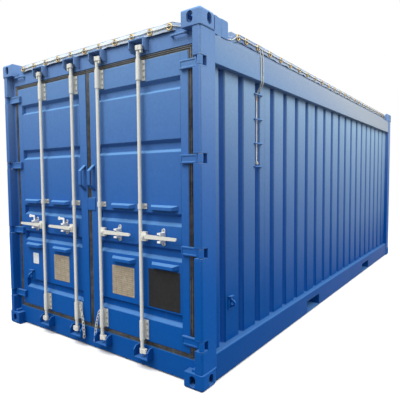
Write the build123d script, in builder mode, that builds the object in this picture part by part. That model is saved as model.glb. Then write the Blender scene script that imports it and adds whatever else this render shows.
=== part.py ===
"""Twenty foot open-top freight container with a tarpaulin roof and two end doors.

Millimetres, +Z up, length along Y. The origin is at the middle of the footprint, on the ground.
The door end faces -Y, and the side with the rope tail faces +X.
"""
import os
from math import atan2, tan

from build123d import *

# Overall size, set by the corner castings
LENGTH = 6058.0
WIDTH = 2438.0
HEIGHT = 2591.0
SIDE = WIDTH / 2
FRONT = -LENGTH / 2
REAR = LENGTH / 2

# Corner castings
CASTING_LENGTH = 178.0
CASTING_WIDTH = 162.0
CASTING_HEIGHT = 118.0
CASTING_WALL = 16.0
CASTING_PLATE = 28.0
CASTING_EDGE = 22.0
CASTING_BACK_EDGE = 28.0
APERTURE_LENGTH = 124.0
APERTURE_WIDTH = 63.5
APERTURE_FROM_END = 102.5
APERTURE_FROM_SIDE = 89.5
SIDE_HOLE_HEIGHT = 79.0
SIDE_HOLE_WIDTH = 51.0

# Corner posts, set back a little from the castings
POST_SET = 6.0
POST_FACE = 65.0
POST_CHEEK = 70.0
POST_WIDTH = 101.0
POST_WALL = 6.0
POST_CORNER = 20.0
POST_STEP_SET = 14.0
POST_STEP_HEIGHT = 20.0

# Rails between the posts
RAIL_SET = 12.0
RAIL_WALL = 8.0
GROUND_CLEARANCE = 14.0
BOTTOM_RAIL_HEIGHT = 201.0
BOTTOM_RAIL_WIDTH = 85.0
BOTTOM_RAIL_EDGE = 12.0
TOP_RAIL_HEIGHT = 193.0
TOP_RAIL_WIDTH = 70.0
TOP_RAIL_DROP = 136.0
ROOF_LIP_DROP = 46.0
ROOF_LIP_SET = 22.0
ROOF_LIP_WIDTH = 35.0
ROOF_LIP_END = 10.0
SILL_HEIGHT = 164.0
SILL_DEPTH = 102.0
HEADER_HEIGHT = 116.0
HEADER_DEPTH = 92.0
HEADER_DROP = 91.0
REAR_HEADER_HEIGHT = 200.0
REAR_RAIL_DEPTH = 88.0

# Corrugated walls
SHEET = 4.0
WALL_SET = 45.0
WALL_PITCH = 278.0
WALL_FIRST = 116.0
RECESS_DEPTH = 36.0
RECESS_SLOPE = 20.0
RECESS_FLAT = 50.0
END_PITCH = 276.0

# Floor and underframe
FLOOR_THICKNESS = 28.0
CROSS_MEMBER_PITCH = 300.0
CROSS_MEMBER_HEIGHT = 122.0
CROSS_MEMBER_FLANGE = 45.0
CROSS_MEMBER_WALL = 5.0
POCKET_WIDTH = 360.0
POCKET_HEIGHT = 115.0
POCKET_WALL = 8.0
POCKET_FRONT = 2129.0
POCKET_REAR = 1679.0

# Doors
DOOR_GAP = 5.0
LEAF_RECESS = 68.0
LEAF_DEPTH = 50.0
GASKET_SINK = 2.0
GASKET_DEPTH = 26.0
GASKET_WIDTH = 44.0
GASKET_HEIGHT = 33.0
MEETING_RIGHT = 24.0
MEETING_GASKET = 44.0
MEETING_GAP = 8.0
STILE_WIDTH = 90.0
HINGE_STILE_WIDTH = 68.0
LEAF_RAIL_HEIGHT = 80.0
TROUGH_HEIGHT = 92.0
TROUGH_DEPTH = 34.0
TROUGH_SLOPE = 22.0
TROUGH_SHARES = (0.103, 0.327, 0.447, 0.699, 0.904)
OVERLAP_PLATE_HEIGHT = 105.0
OVERLAP_PLATE_WIDTH = 94.0
OVERLAP_PLATE_THICKNESS = 6.0
OVERLAP_PLATE_SHARE = 0.488

# Hinges
HINGE_COUNT = 4
HINGE_END = 98.0
PIN_INSET = 20.0
PIN_RADIUS = 9.0
PIN_CLEARANCE = 0.5
KNUCKLE_RADIUS = 18.0
BLADE_HEIGHT = 62.0
BLADE_THICKNESS = 24.0
BLADE_REACH = 58.0
BLADE_PANEL_SINK = 3.0
BLADE_PANEL_MARGIN = 12.0
BLADE_PLAY = 2.0
LUG_THICKNESS = 12.0

# Lock rods
ROD_RADIUS = 14.0
ROD_RECESS = 30.0
ROD_FROM_MIDDLE = 167.0
OUTER_ROD_SHARE = 0.59
ROD_CLEARANCE = 0.5
BEARING_RADIUS = 19.0
BEARING_WEB = 24.0
BEARING_FOOT = 66.0
BEARING_FOOT_THICKNESS = 8.0
SLEEVE_HEIGHT = 150.0
MID_BEARING_HEIGHT = 40.0
TOP_SLEEVE_SHARE = 0.965
MID_BEARING_SHARE = 0.49
LOW_SLEEVE_SHARE = 0.042
CAM_RADIUS = 21.0
CAM_REACH = 46.0
CAM_WIDTH = 28.0
CAM_HEIGHT = 34.0
CAM_FINGER = 18.0
CAM_FINGER_HEIGHT = 20.0
HANDLE_SHARE = 0.385
HUB_LENGTH = 62.0
HUB_DEPTH = 21.0
HUB_HEIGHT = 70.0
ROD_END_GAP = 36.0
BEARING_FOOT_SHIFT = 5.0
HANDLE_LENGTH = 360.0
HANDLE_ROOT = 34.0
HANDLE_TIP = 22.0
HANDLE_THICKNESS = 12.0
HANDLE_START = 18.0
CATCH_FROM_ROD_RIGHT = 200.0
CATCH_FROM_ROD_LEFT = 152.0
CATCH_WIDTH = 30.0
CATCH_GAP = 6.0
CATCH_LUG = 14.0
CATCH_BASE = 34.0
CATCH_REACH = 60.0
CATCH_PLATE_HEIGHT = 130.0
CATCH_PLATE_THICKNESS = 8.0
CATCH_ARM_LENGTH = 66.0
CATCH_ARM_RISE = 40.0
CATCH_ARM_WIDTH = 18.0
CATCH_EYE_RADIUS = 15.0
CATCH_EYE_HOLE = 7.0

# Keepers on the header and the sill
KEEPER_WIDTH = 152.0
KEEPER_PLATE = 10.0
KEEPER_HEIGHT = 78.0
KEEPER_FRONT = 6.0
KEEPER_CHAMFER = 26.0
SILL_KEEPER_SHELF = 70.0
HEADER_KEEPER_TOP = 8.0

# Small door pieces
HOOD_LENGTH_SHARE = 0.249
HOOD_HEIGHT = 36.0
HOOD_REACH = 40.0
HOOD_SLOPE = 12.0
HOOD_END_SLANT = 34.0
HOOD_SHEET = 4.0
HOOD_START_SHARES = (0.256, 0.662)
HOOD_SHARES = (0.294, 0.496)
GRAB_WIDTH = 34.0
GRAB_BAR = 9.0
GRAB_HEIGHT = 220.0
GRAB_REACH = 58.0
GRAB_SLANT = 50.0
GRAB_FROM_EDGE = 32.0
GRAB_SHARE = 0.592
PADEYE_PLATE = 14.0
PADEYE_REACH = 52.0
PADEYE_HEIGHT = 96.0
PADEYE_HOLE = 13.0
PADEYE_CAP = 60.0
PADEYE_SHARE = 0.142
PADEYE_FROM_HINGE_EDGE = 173.0
SIDE_PADEYE_LEVEL = 510.0
HEADER_PIN_RADIUS = 8.0
HEADER_PIN_LENGTH = 130.0
HEADER_PIN_REACH = 30.0

# Roof
BOW_COUNT = 6
BOW_WIDTH = 40.0
BOW_DEPTH = 32.0
SEAT_CLEARANCE = 0.3
TARP_SHEET = 8.0
TARP_CAMBER = 22.0
TARP_HEM_DROP = 95.0
TARP_SIDE_SET = 24.0
TARP_END_SET = 45.0
TARP_CORNER_ACROSS = 250.0
TARP_CORNER_ALONG = 380.0
LASHING_RADIUS = 5.0
LASHING_DROP = 63.0
LASHING_BEND = 12.0
GUSSET_LENGTH = 171.0
GUSSET_DEPTH = 20.0
GUSSET_CREASE = 5.0
GUSSET_TOP_GAP = 10.0
GUSSET_ROUND = 15.0

# Rope tail and the bars that hold it to the wall
ROPE_RADIUS = 4.5
ROPE_RECESS = 2
ROPE_BAR_RADIUS = 6.0
ROPE_BAR_SHARES = (0.950, 0.850, 0.752, 0.658)
KNOT_RADIUS = 17.0
KNOT_HEIGHT = 46.0
KNOT_ROUND = 9.0
ROPE_LEAD_NEAR = 30.0
ROPE_LEAD_FAR = 70.0

# Levels and planes that follow from the sizes above
SILL_TOP = GROUND_CLEARANCE + SILL_HEIGHT
BOTTOM_RAIL_TOP = GROUND_CLEARANCE + BOTTOM_RAIL_HEIGHT
TOP_CASTING = HEIGHT - CASTING_HEIGHT
TOP_RAIL_TOP = HEIGHT - TOP_RAIL_DROP
TOP_RAIL_BOTTOM = TOP_RAIL_TOP - TOP_RAIL_HEIGHT
HEADER_TOP = HEIGHT - HEADER_DROP
HEADER_BOTTOM = HEADER_TOP - HEADER_HEIGHT
ROOF_SEAT = HEIGHT - ROOF_LIP_DROP
RAIL_FACE = SIDE - RAIL_SET
POST_SIDE = SIDE - POST_SET
POST_FRONT = FRONT + POST_SET
CHEEK_X = POST_SIDE - POST_FACE
STOP_Y = POST_FRONT + POST_CHEEK
OPENING_X = POST_SIDE - POST_WIDTH
POST_END = FRONT + CASTING_LENGTH
LEAF_Y = FRONT + LEAF_RECESS
LEAF_BACK = LEAF_Y + LEAF_DEPTH
LEAF_EDGE = OPENING_X - DOOR_GAP - GASKET_WIDTH
LEAF_BOTTOM = SILL_TOP + DOOR_GAP + GASKET_HEIGHT
LEAF_TOP = HEADER_BOTTOM - DOOR_GAP - GASKET_HEIGHT
LEAF_HEIGHT = LEAF_TOP - LEAF_BOTTOM
MEETING_LEFT = MEETING_GASKET - MEETING_RIGHT + MEETING_GAP
PIN_X = POST_SIDE - PIN_INSET
PIN_Y = POST_FRONT + PIN_INSET
ROD_Y = FRONT + ROD_RECESS
WALL_FACE = RAIL_FACE - WALL_SET
WALL_START = POST_END
WALL_STOP = -POST_END
RECESS_MOUTH = RECESS_FLAT + 2 * RECESS_SLOPE
ROD_NAMES = ("left_outer", "left_inner", "right_inner", "right_outer")
ROD_X = (
    -OUTER_ROD_SHARE * LEAF_EDGE,
    -ROD_FROM_MIDDLE,
    ROD_FROM_MIDDLE,
    OUTER_ROD_SHARE * LEAF_EDGE,
)
HOOD_LENGTH = HOOD_LENGTH_SHARE * LEAF_EDGE
HINGE_STEP = (LEAF_HEIGHT - 2 * HINGE_END) / (HINGE_COUNT - 1)
HINGE_LEVELS = [LEAF_BOTTOM + HINGE_END + i * HINGE_STEP for i in range(HINGE_COUNT)]
HANDLE_LEVEL = LEAF_BOTTOM + HANDLE_SHARE * LEAF_HEIGHT
SHELF_LEVEL = GROUND_CLEARANCE + SILL_KEEPER_SHELF
KEEPER_CEILING = HEADER_TOP - HEADER_KEEPER_TOP
TARP_HALF = SIDE - TARP_SIDE_SET
TARP_INNER = TARP_HALF - TARP_SHEET
TARP_SEAT = ROOF_SEAT + SEAT_CLEARANCE
TARP_HEM = HEIGHT - TARP_HEM_DROP
TARP_END = FRONT + TARP_END_SET
SIDE_LIP_START = TARP_END + TARP_CORNER_ALONG + ROOF_LIP_END
END_LIP_HALF = TARP_HALF - TARP_CORNER_ACROSS - ROOF_LIP_END
ROD_BOTTOM = SHELF_LEVEL + KEEPER_PLATE + ROD_END_GAP
ROD_TOP = KEEPER_CEILING - KEEPER_PLATE - ROD_END_GAP

os.makedirs("parts", exist_ok=True)


def save(part, name):
    """Label a finished piece and write its own file."""
    part.label = name
    export_step(part, f"parts/{name}.step")


def leaf_level(share):
    """Height of a place on the doors, from its share of the leaf's height."""
    return LEAF_BOTTOM + share * LEAF_HEIGHT


def block(low, high, mode=Mode.ADD):
    """A box between two corners."""
    size = [b - a for a, b in zip(low, high)]
    middle = [(a + b) / 2 for a, b in zip(low, high)]
    with Locations(tuple(middle)):
        Box(*size, mode=mode)


# Corner castings: hollow cast boxes with an oblong aperture in the outer plate and one hole in each face
with BuildPart() as casting:
    block((SIDE - CASTING_WIDTH, FRONT, 0), (SIDE, FRONT + CASTING_LENGTH, CASTING_HEIGHT))
    upright = casting.edges().filter_by(Axis.Z).sort_by(Axis.X)[-2:].sort_by(Axis.Y)[0]
    under = casting.faces().sort_by(Axis.Z)[0].edges()
    fillet([upright, under.sort_by(Axis.X)[-1], under.sort_by(Axis.Y)[0]], CASTING_EDGE)
    back = casting.faces().sort_by(Axis.Y)[-1].edges().filter_by(Axis.X).sort_by(Axis.Z)[0]
    fillet(back, CASTING_BACK_EDGE)
    block(
        (SIDE - CASTING_WIDTH + CASTING_WALL, FRONT + CASTING_WALL, CASTING_PLATE),
        (SIDE - CASTING_WALL, POST_END - CASTING_WALL, CASTING_HEIGHT - CASTING_WALL),
        mode=Mode.SUBTRACT,
    )
    with BuildSketch(Plane.XY):
        with Locations((SIDE - APERTURE_FROM_SIDE, FRONT + APERTURE_FROM_END)):
            SlotOverall(APERTURE_LENGTH, APERTURE_WIDTH, rotation=90)
    extrude(amount=CASTING_PLATE, mode=Mode.SUBTRACT)
    with BuildSketch(Plane.XZ.offset(-FRONT)):
        with Locations((SIDE - APERTURE_FROM_SIDE, CASTING_HEIGHT / 2)):
            SlotOverall(SIDE_HOLE_HEIGHT, SIDE_HOLE_WIDTH, rotation=90)
    extrude(amount=-CASTING_WALL, mode=Mode.SUBTRACT)
    with BuildSketch(Plane.YZ.offset(SIDE)):
        with Locations((FRONT + APERTURE_FROM_END, CASTING_HEIGHT / 2)):
            SlotOverall(SIDE_HOLE_HEIGHT, SIDE_HOLE_WIDTH, rotation=90)
    extrude(amount=-CASTING_WALL, mode=Mode.SUBTRACT)

with BuildPart() as bottom_castings:
    add(casting.part)
    mirror(about=Plane.YZ)
    mirror(about=Plane.XZ)
save(bottom_castings.part, "bottom_corner_castings")

with BuildPart() as top_castings:
    mirror(bottom_castings.part, about=Plane.XY.offset(HEIGHT / 2))
save(top_castings.part, "top_corner_castings")


# Door-end posts: a narrow front tube, set on a wider back tube that the doors close beside
NOTCH_HALF = BLADE_HEIGHT / 2 + BLADE_PLAY + LUG_THICKNESS

with BuildPart() as door_posts:
    with BuildSketch(Plane.XY.offset(CASTING_HEIGHT)):
        with BuildLine():
            Polyline(
                (POST_SIDE, POST_FRONT),
                (POST_SIDE, POST_END),
                (OPENING_X, POST_END),
                (OPENING_X, STOP_Y),
                (CHEEK_X, STOP_Y),
                (CHEEK_X, POST_FRONT),
                close=True,
            )
        outline = make_face()
        fillet(outline.vertices().sort_by(Axis.Y)[:2].sort_by(Axis.X)[-1], POST_CORNER)
        with Locations(((CHEEK_X + POST_SIDE) / 2, (POST_FRONT + POST_WALL + STOP_Y) / 2)):
            Rectangle(POST_FACE - 2 * POST_WALL, POST_CHEEK - POST_WALL, mode=Mode.SUBTRACT)
        with Locations(((OPENING_X + POST_SIDE) / 2, (STOP_Y + POST_END) / 2)):
            Rectangle(POST_WIDTH - 2 * POST_WALL, POST_END - STOP_Y - 2 * POST_WALL, mode=Mode.SUBTRACT)
    extrude(amount=TOP_CASTING - CASTING_HEIGHT)
    for level in HINGE_LEVELS:
        block(
            (CHEEK_X, POST_FRONT, level - NOTCH_HALF),
            (POST_SIDE, STOP_Y, level + NOTCH_HALF),
            mode=Mode.SUBTRACT,
        )
    block(
        (OPENING_X, POST_FRONT + POST_STEP_SET, CASTING_HEIGHT),
        (CHEEK_X, STOP_Y, CASTING_HEIGHT + POST_STEP_HEIGHT),
    )
    mirror(about=Plane.YZ)
save(door_posts.part, "door_posts")

# Hinge clevises: two lugs that close each notch in the post, with the pin between them
with BuildPart() as clevises:
    for level in HINGE_LEVELS:
        for base in (level - NOTCH_HALF, level + NOTCH_HALF - LUG_THICKNESS):
            with BuildSketch(Plane.XY.offset(base)):
                with Locations(((CHEEK_X + POST_SIDE) / 2, (POST_FRONT + STOP_Y) / 2)):
                    lug = Rectangle(POST_FACE, POST_CHEEK)
                fillet(lug.vertices().sort_by(Axis.Y)[:2].sort_by(Axis.X)[-1], POST_CORNER)
            extrude(amount=LUG_THICKNESS)
        with Locations((PIN_X, PIN_Y, level)):
            Cylinder(PIN_RADIUS, 2 * NOTCH_HALF)
    mirror(about=Plane.YZ)
save(clevises.part, "hinge_clevises")

# Closed-end posts: plain square tubes with a rounded outer corner
with BuildPart() as rear_posts:
    with BuildSketch(Plane.XY.offset(CASTING_HEIGHT)):
        with Locations(((OPENING_X + POST_SIDE) / 2, (-POST_END - POST_FRONT) / 2)):
            tube = Rectangle(POST_WIDTH, POST_END - POST_FRONT)
            fillet(tube.vertices().sort_by(Axis.Y)[-2:].sort_by(Axis.X)[-1], POST_CORNER)
        with Locations(((OPENING_X + POST_SIDE) / 2, (-POST_END - POST_FRONT) / 2)):
            Rectangle(POST_WIDTH - 2 * POST_WALL, POST_END - POST_FRONT - 2 * POST_WALL, mode=Mode.SUBTRACT)
    extrude(amount=TOP_CASTING - CASTING_HEIGHT)
    mirror(about=Plane.YZ)
save(rear_posts.part, "rear_posts")

# Rails of the frame: hollow box sections between the castings and posts
with BuildPart() as fork_pockets:
    for y in (FRONT + POCKET_FRONT, REAR - POCKET_REAR):
        with BuildSketch(Plane.YZ.offset(-RAIL_FACE)):
            with Locations((y, GROUND_CLEARANCE + POCKET_WALL + POCKET_HEIGHT / 2)):
                Rectangle(POCKET_WIDTH + 2 * POCKET_WALL, POCKET_HEIGHT + 2 * POCKET_WALL)
                Rectangle(POCKET_WIDTH, POCKET_HEIGHT, mode=Mode.SUBTRACT)
        extrude(amount=2 * RAIL_FACE)
save(fork_pockets.part, "fork_pockets")

with BuildPart() as bottom_rails:
    with BuildSketch(Plane.XZ.offset(-POST_END)):
        with Locations((RAIL_FACE - BOTTOM_RAIL_WIDTH / 2, GROUND_CLEARANCE + BOTTOM_RAIL_HEIGHT / 2)):
            tube = Rectangle(BOTTOM_RAIL_WIDTH, BOTTOM_RAIL_HEIGHT)
            fillet(tube.vertices().sort_by(Axis.Y)[-2:].sort_by(Axis.X)[-1], BOTTOM_RAIL_EDGE)
        with Locations((RAIL_FACE - BOTTOM_RAIL_WIDTH / 2, GROUND_CLEARANCE + BOTTOM_RAIL_HEIGHT / 2)):
            Rectangle(
                BOTTOM_RAIL_WIDTH - 2 * RAIL_WALL, BOTTOM_RAIL_HEIGHT - 2 * RAIL_WALL, mode=Mode.SUBTRACT
            )
    extrude(amount=2 * POST_END)
    for y in (FRONT + POCKET_FRONT, REAR - POCKET_REAR):
        half = POCKET_WIDTH / 2 + POCKET_WALL
        block(
            (RAIL_FACE - BOTTOM_RAIL_WIDTH, y - half, GROUND_CLEARANCE),
            (RAIL_FACE, y + half, GROUND_CLEARANCE + POCKET_HEIGHT + 2 * POCKET_WALL),
            mode=Mode.SUBTRACT,
        )
    mirror(about=Plane.YZ)
save(bottom_rails.part, "bottom_side_rails")

with BuildPart() as top_rails:
    lip = RAIL_FACE - ROOF_LIP_SET
    with BuildSketch(Plane.XZ.offset(-POST_END)):
        with Locations((RAIL_FACE - TOP_RAIL_WIDTH / 2, TOP_RAIL_BOTTOM + TOP_RAIL_HEIGHT / 2)):
            Rectangle(TOP_RAIL_WIDTH, TOP_RAIL_HEIGHT)
        with Locations((RAIL_FACE - TOP_RAIL_WIDTH / 2, TOP_RAIL_BOTTOM + TOP_RAIL_HEIGHT / 2)):
            Rectangle(TOP_RAIL_WIDTH - 2 * RAIL_WALL, TOP_RAIL_HEIGHT - 2 * RAIL_WALL, mode=Mode.SUBTRACT)
    extrude(amount=2 * POST_END)
    block((lip - ROOF_LIP_WIDTH, SIDE_LIP_START, TOP_RAIL_TOP), (lip, -SIDE_LIP_START, ROOF_SEAT))
    mirror(about=Plane.YZ)
save(top_rails.part, "top_side_rails")

with BuildPart() as sill:
    with BuildSketch(Plane.XZ.offset(-LEAF_Y)):
        with Locations((0, GROUND_CLEARANCE + SILL_HEIGHT / 2)):
            Rectangle(2 * (SIDE - CASTING_WIDTH), SILL_HEIGHT)
        with Locations((0, (CASTING_HEIGHT + SILL_TOP) / 2)):
            Rectangle(2 * OPENING_X, SILL_TOP - CASTING_HEIGHT)
    extrude(amount=-SILL_DEPTH)
save(sill.part, "door_sill")

with BuildPart() as header:
    with BuildSketch(Plane.XZ.offset(-LEAF_Y)):
        with Locations((0, (HEADER_BOTTOM + TOP_CASTING) / 2)):
            Rectangle(2 * OPENING_X, TOP_CASTING - HEADER_BOTTOM)
        with Locations((0, (HEADER_BOTTOM + HEADER_TOP) / 2)):
            Rectangle(2 * (SIDE - CASTING_WIDTH), HEADER_HEIGHT)
    extrude(amount=-HEADER_DEPTH)
    block(
        (-END_LIP_HALF, LEAF_Y + ROOF_LIP_END, HEADER_TOP),
        (END_LIP_HALF, LEAF_Y + ROOF_LIP_END + ROOF_LIP_WIDTH, ROOF_SEAT),
    )
save(header.part, "door_header")

with BuildPart() as rear_sill:
    block(
        (CASTING_WIDTH - SIDE, REAR - RAIL_SET - REAR_RAIL_DEPTH, GROUND_CLEARANCE),
        (SIDE - CASTING_WIDTH, REAR - RAIL_SET, SILL_TOP),
    )
    block(
        (-OPENING_X, REAR - RAIL_SET - REAR_RAIL_DEPTH, CASTING_HEIGHT),
        (OPENING_X, REAR - RAIL_SET, SILL_TOP),
    )
save(rear_sill.part, "rear_sill")

with BuildPart() as rear_header:
    block(
        (-OPENING_X, REAR - RAIL_SET - REAR_RAIL_DEPTH, HEADER_TOP - REAR_HEADER_HEIGHT),
        (OPENING_X, REAR - RAIL_SET, TOP_CASTING),
    )
    block(
        (CASTING_WIDTH - SIDE, -LEAF_Y - ROOF_LIP_END - ROOF_LIP_WIDTH, TOP_CASTING),
        (SIDE - CASTING_WIDTH, -LEAF_Y, HEADER_TOP),
    )
    block(
        (-END_LIP_HALF, -LEAF_Y - ROOF_LIP_END - ROOF_LIP_WIDTH, HEADER_TOP),
        (END_LIP_HALF, -LEAF_Y - ROOF_LIP_END, ROOF_SEAT),
    )
save(rear_header.part, "rear_header")


# Corrugated walls: folded sheet with narrow recesses between broad flats
def corrugation(start, stop, first, pitch):
    """Outline of a folded sheet as (along, depth) points: the outer face, then back along the inner one."""
    mitre = SHEET * tan(atan2(RECESS_DEPTH, RECESS_SLOPE) / 2)
    count = int((stop - first - RECESS_MOUTH - mitre) // pitch) + 1
    outer = [(start, 0)]
    inner = [(start, SHEET)]
    for i in range(count):
        near = first + i * pitch
        far = near + RECESS_MOUTH
        outer += [(near, 0), (near + RECESS_SLOPE, RECESS_DEPTH)]
        outer += [(far - RECESS_SLOPE, RECESS_DEPTH), (far, 0)]
        inner += [(near - mitre, SHEET), (near + RECESS_SLOPE - mitre, RECESS_DEPTH + SHEET)]
        inner += [(far - RECESS_SLOPE + mitre, RECESS_DEPTH + SHEET), (far + mitre, SHEET)]
    outer.append((stop, 0))
    inner.append((stop, SHEET))
    return outer + inner[::-1]


with BuildPart() as right_wall:
    folds = corrugation(WALL_START, WALL_STOP, WALL_START + WALL_FIRST, WALL_PITCH)
    with BuildSketch(Plane.XY.offset(BOTTOM_RAIL_TOP)):
        with BuildLine():
            Polyline(*[(WALL_FACE - depth, along) for along, depth in folds], close=True)
        make_face()
    extrude(amount=TOP_RAIL_BOTTOM - BOTTOM_RAIL_TOP)
save(right_wall.part, "right_side_wall")

with BuildPart() as left_wall:
    mirror(right_wall.part, about=Plane.YZ)
save(left_wall.part, "left_side_wall")

with BuildPart() as end_wall:
    end_steps = int((2 * OPENING_X - 2 * RECESS_MOUTH) // END_PITCH)
    end_first = -(END_PITCH * end_steps + RECESS_MOUTH) / 2
    folds = corrugation(-OPENING_X, OPENING_X, end_first, END_PITCH)
    with BuildSketch(Plane.XY.offset(SILL_TOP)):
        with BuildLine():
            Polyline(*[(along, REAR - RAIL_SET - WALL_SET / 2 - depth) for along, depth in folds], close=True)
        make_face()
    extrude(amount=HEADER_TOP - REAR_HEADER_HEIGHT - SILL_TOP)
save(end_wall.part, "end_wall")

# Floor boards on channel cross members
FLOOR_FRONT = LEAF_Y + SILL_DEPTH
FLOOR_REAR = REAR - RAIL_SET - REAR_RAIL_DEPTH
FLOOR_HALF = RAIL_FACE - BOTTOM_RAIL_WIDTH
CROSS_MEMBER_TOP = SILL_TOP - FLOOR_THICKNESS

with BuildPart() as floor_boards:
    block((-OPENING_X, FLOOR_FRONT, CROSS_MEMBER_TOP), (OPENING_X, FLOOR_REAR, SILL_TOP))
save(floor_boards.part, "floor")

with BuildPart() as cross_members:
    pockets = (FRONT + POCKET_FRONT, REAR - POCKET_REAR)
    room = POCKET_WIDTH / 2 + POCKET_WALL + CROSS_MEMBER_FLANGE
    steps = int((FLOOR_REAR - FLOOR_FRONT) // CROSS_MEMBER_PITCH)
    places = [FLOOR_FRONT + (i + 0.5) * CROSS_MEMBER_PITCH for i in range(steps)]
    for y in [place for place in places if min(abs(place - pocket) for pocket in pockets) > room]:
        base = CROSS_MEMBER_TOP - CROSS_MEMBER_HEIGHT
        block((-FLOOR_HALF, y, base), (FLOOR_HALF, y + CROSS_MEMBER_FLANGE, CROSS_MEMBER_TOP))
        block(
            (-FLOOR_HALF, y + CROSS_MEMBER_WALL, base + CROSS_MEMBER_WALL),
            (FLOOR_HALF, y + CROSS_MEMBER_FLANGE, CROSS_MEMBER_TOP - CROSS_MEMBER_WALL),
            mode=Mode.SUBTRACT,
        )
save(cross_members.part, "cross_members")


# Roof: bent bows between the rails, a tarpaulin over them and a lashing rope round its flaps
def camber(x):
    """Rise of the roof above its seat, a shallow parabola across the width."""
    return TARP_CAMBER * (1 - (x / TARP_INNER) ** 2)


with BuildPart() as bows:
    half = RAIL_FACE - ROOF_LIP_SET - ROOF_LIP_WIDTH
    step = 2 * WALL_STOP / (BOW_COUNT + 1)
    for i in range(BOW_COUNT):
        with BuildSketch(Plane.XZ.offset(-(WALL_START + (i + 1) * step - BOW_WIDTH / 2))):
            with BuildLine():
                top = ThreePointArc(
                    (-half, ROOF_SEAT + camber(half)),
                    (0, ROOF_SEAT + TARP_CAMBER),
                    (half, ROOF_SEAT + camber(half)),
                )
                under = ThreePointArc(
                    (-half, ROOF_SEAT + camber(half) - BOW_DEPTH),
                    (0, ROOF_SEAT + TARP_CAMBER - BOW_DEPTH),
                    (half, ROOF_SEAT + camber(half) - BOW_DEPTH),
                )
                Line(top @ 0, under @ 0)
                Line(top @ 1, under @ 1)
            make_face()
        extrude(amount=-BOW_WIDTH)
save(bows.part, "roof_bows")

with BuildPart() as tarp:
    with BuildSketch(Plane.XZ.offset(-TARP_END)):
        with BuildLine():
            roof_line = ThreePointArc(
                (-TARP_HALF, TARP_SEAT + TARP_SHEET),
                (0, TARP_SEAT + TARP_SHEET + TARP_CAMBER),
                (TARP_HALF, TARP_SEAT + TARP_SHEET),
            )
            Polyline(roof_line @ 0, (-TARP_HALF, TARP_HEM), (TARP_HALF, TARP_HEM), roof_line @ 1)
        make_face()
    extrude(amount=2 * TARP_END)
    with BuildSketch(Plane.XZ.offset(-TARP_END - TARP_SHEET)):
        with BuildLine():
            ceiling = ThreePointArc(
                (-TARP_INNER, TARP_SEAT), (0, TARP_SEAT + TARP_CAMBER), (TARP_INNER, TARP_SEAT)
            )
            Polyline(ceiling @ 0, (-TARP_INNER, TARP_HEM), (TARP_INNER, TARP_HEM), ceiling @ 1)
        make_face()
    extrude(amount=2 * (TARP_END + TARP_SHEET), mode=Mode.SUBTRACT)
    with BuildSketch(Plane.XY.offset(TARP_HEM)):
        with BuildLine():
            Polyline(
                (TARP_HALF - TARP_CORNER_ACROSS, TARP_END),
                (TARP_HALF, TARP_END),
                (TARP_HALF, TARP_END + TARP_CORNER_ALONG),
                close=True,
            )
        make_face()
        mirror(about=Plane.YZ)
        mirror(about=Plane.XZ)
    extrude(amount=HEIGHT - TARP_HEM, mode=Mode.SUBTRACT)
save(tarp.part, "tarpaulin")

with BuildPart() as lashing:
    out = LASHING_RADIUS + SEAT_CLEARANCE
    x = TARP_HALF + out
    y = TARP_END - out
    with BuildLine(Plane.XY.offset(HEIGHT - LASHING_DROP)) as loop:
        FilletPolyline(
            (x - TARP_CORNER_ACROSS, y),
            (x, y + TARP_CORNER_ALONG),
            (x, -y - TARP_CORNER_ALONG),
            (x - TARP_CORNER_ACROSS, -y),
            (TARP_CORNER_ACROSS - x, -y),
            (-x, -y - TARP_CORNER_ALONG),
            (-x, y + TARP_CORNER_ALONG),
            (TARP_CORNER_ACROSS - x, y),
            close=True,
            radius=LASHING_BEND,
        )
    with BuildSketch(Plane(loop.line @ 0, z_dir=loop.line % 0)):
        Circle(LASHING_RADIUS)
    sweep(path=loop.line)
save(lashing.part, "lashing_rope")

with BuildPart() as gussets:
    face = SIDE - RAIL_SET + GUSSET_CREASE
    with BuildSketch(Plane.XY.offset(TOP_RAIL_TOP)):
        with BuildLine():
            Polyline(
                (face - GUSSET_DEPTH, POST_END),
                (face, POST_END),
                (face, POST_END + GUSSET_LENGTH * 0.2),
                (face - GUSSET_CREASE, POST_END + GUSSET_LENGTH * 0.24),
                (face - GUSSET_CREASE, POST_END + GUSSET_LENGTH * 0.48),
                (face, POST_END + GUSSET_LENGTH * 0.54),
                (face, POST_END + GUSSET_LENGTH),
                (face - GUSSET_DEPTH, POST_END + GUSSET_LENGTH),
                close=True,
            )
        make_face()
    extrude(amount=HEIGHT - GUSSET_TOP_GAP - TOP_RAIL_TOP)
    ridge = gussets.faces().sort_by(Axis.Z)[-1].edges().sort_by(Axis.Y)[-1]
    fillet(ridge, GUSSET_ROUND)
    mirror(about=Plane.YZ)
    mirror(about=Plane.XZ)
save(gussets.part, "corner_gussets")


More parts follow.
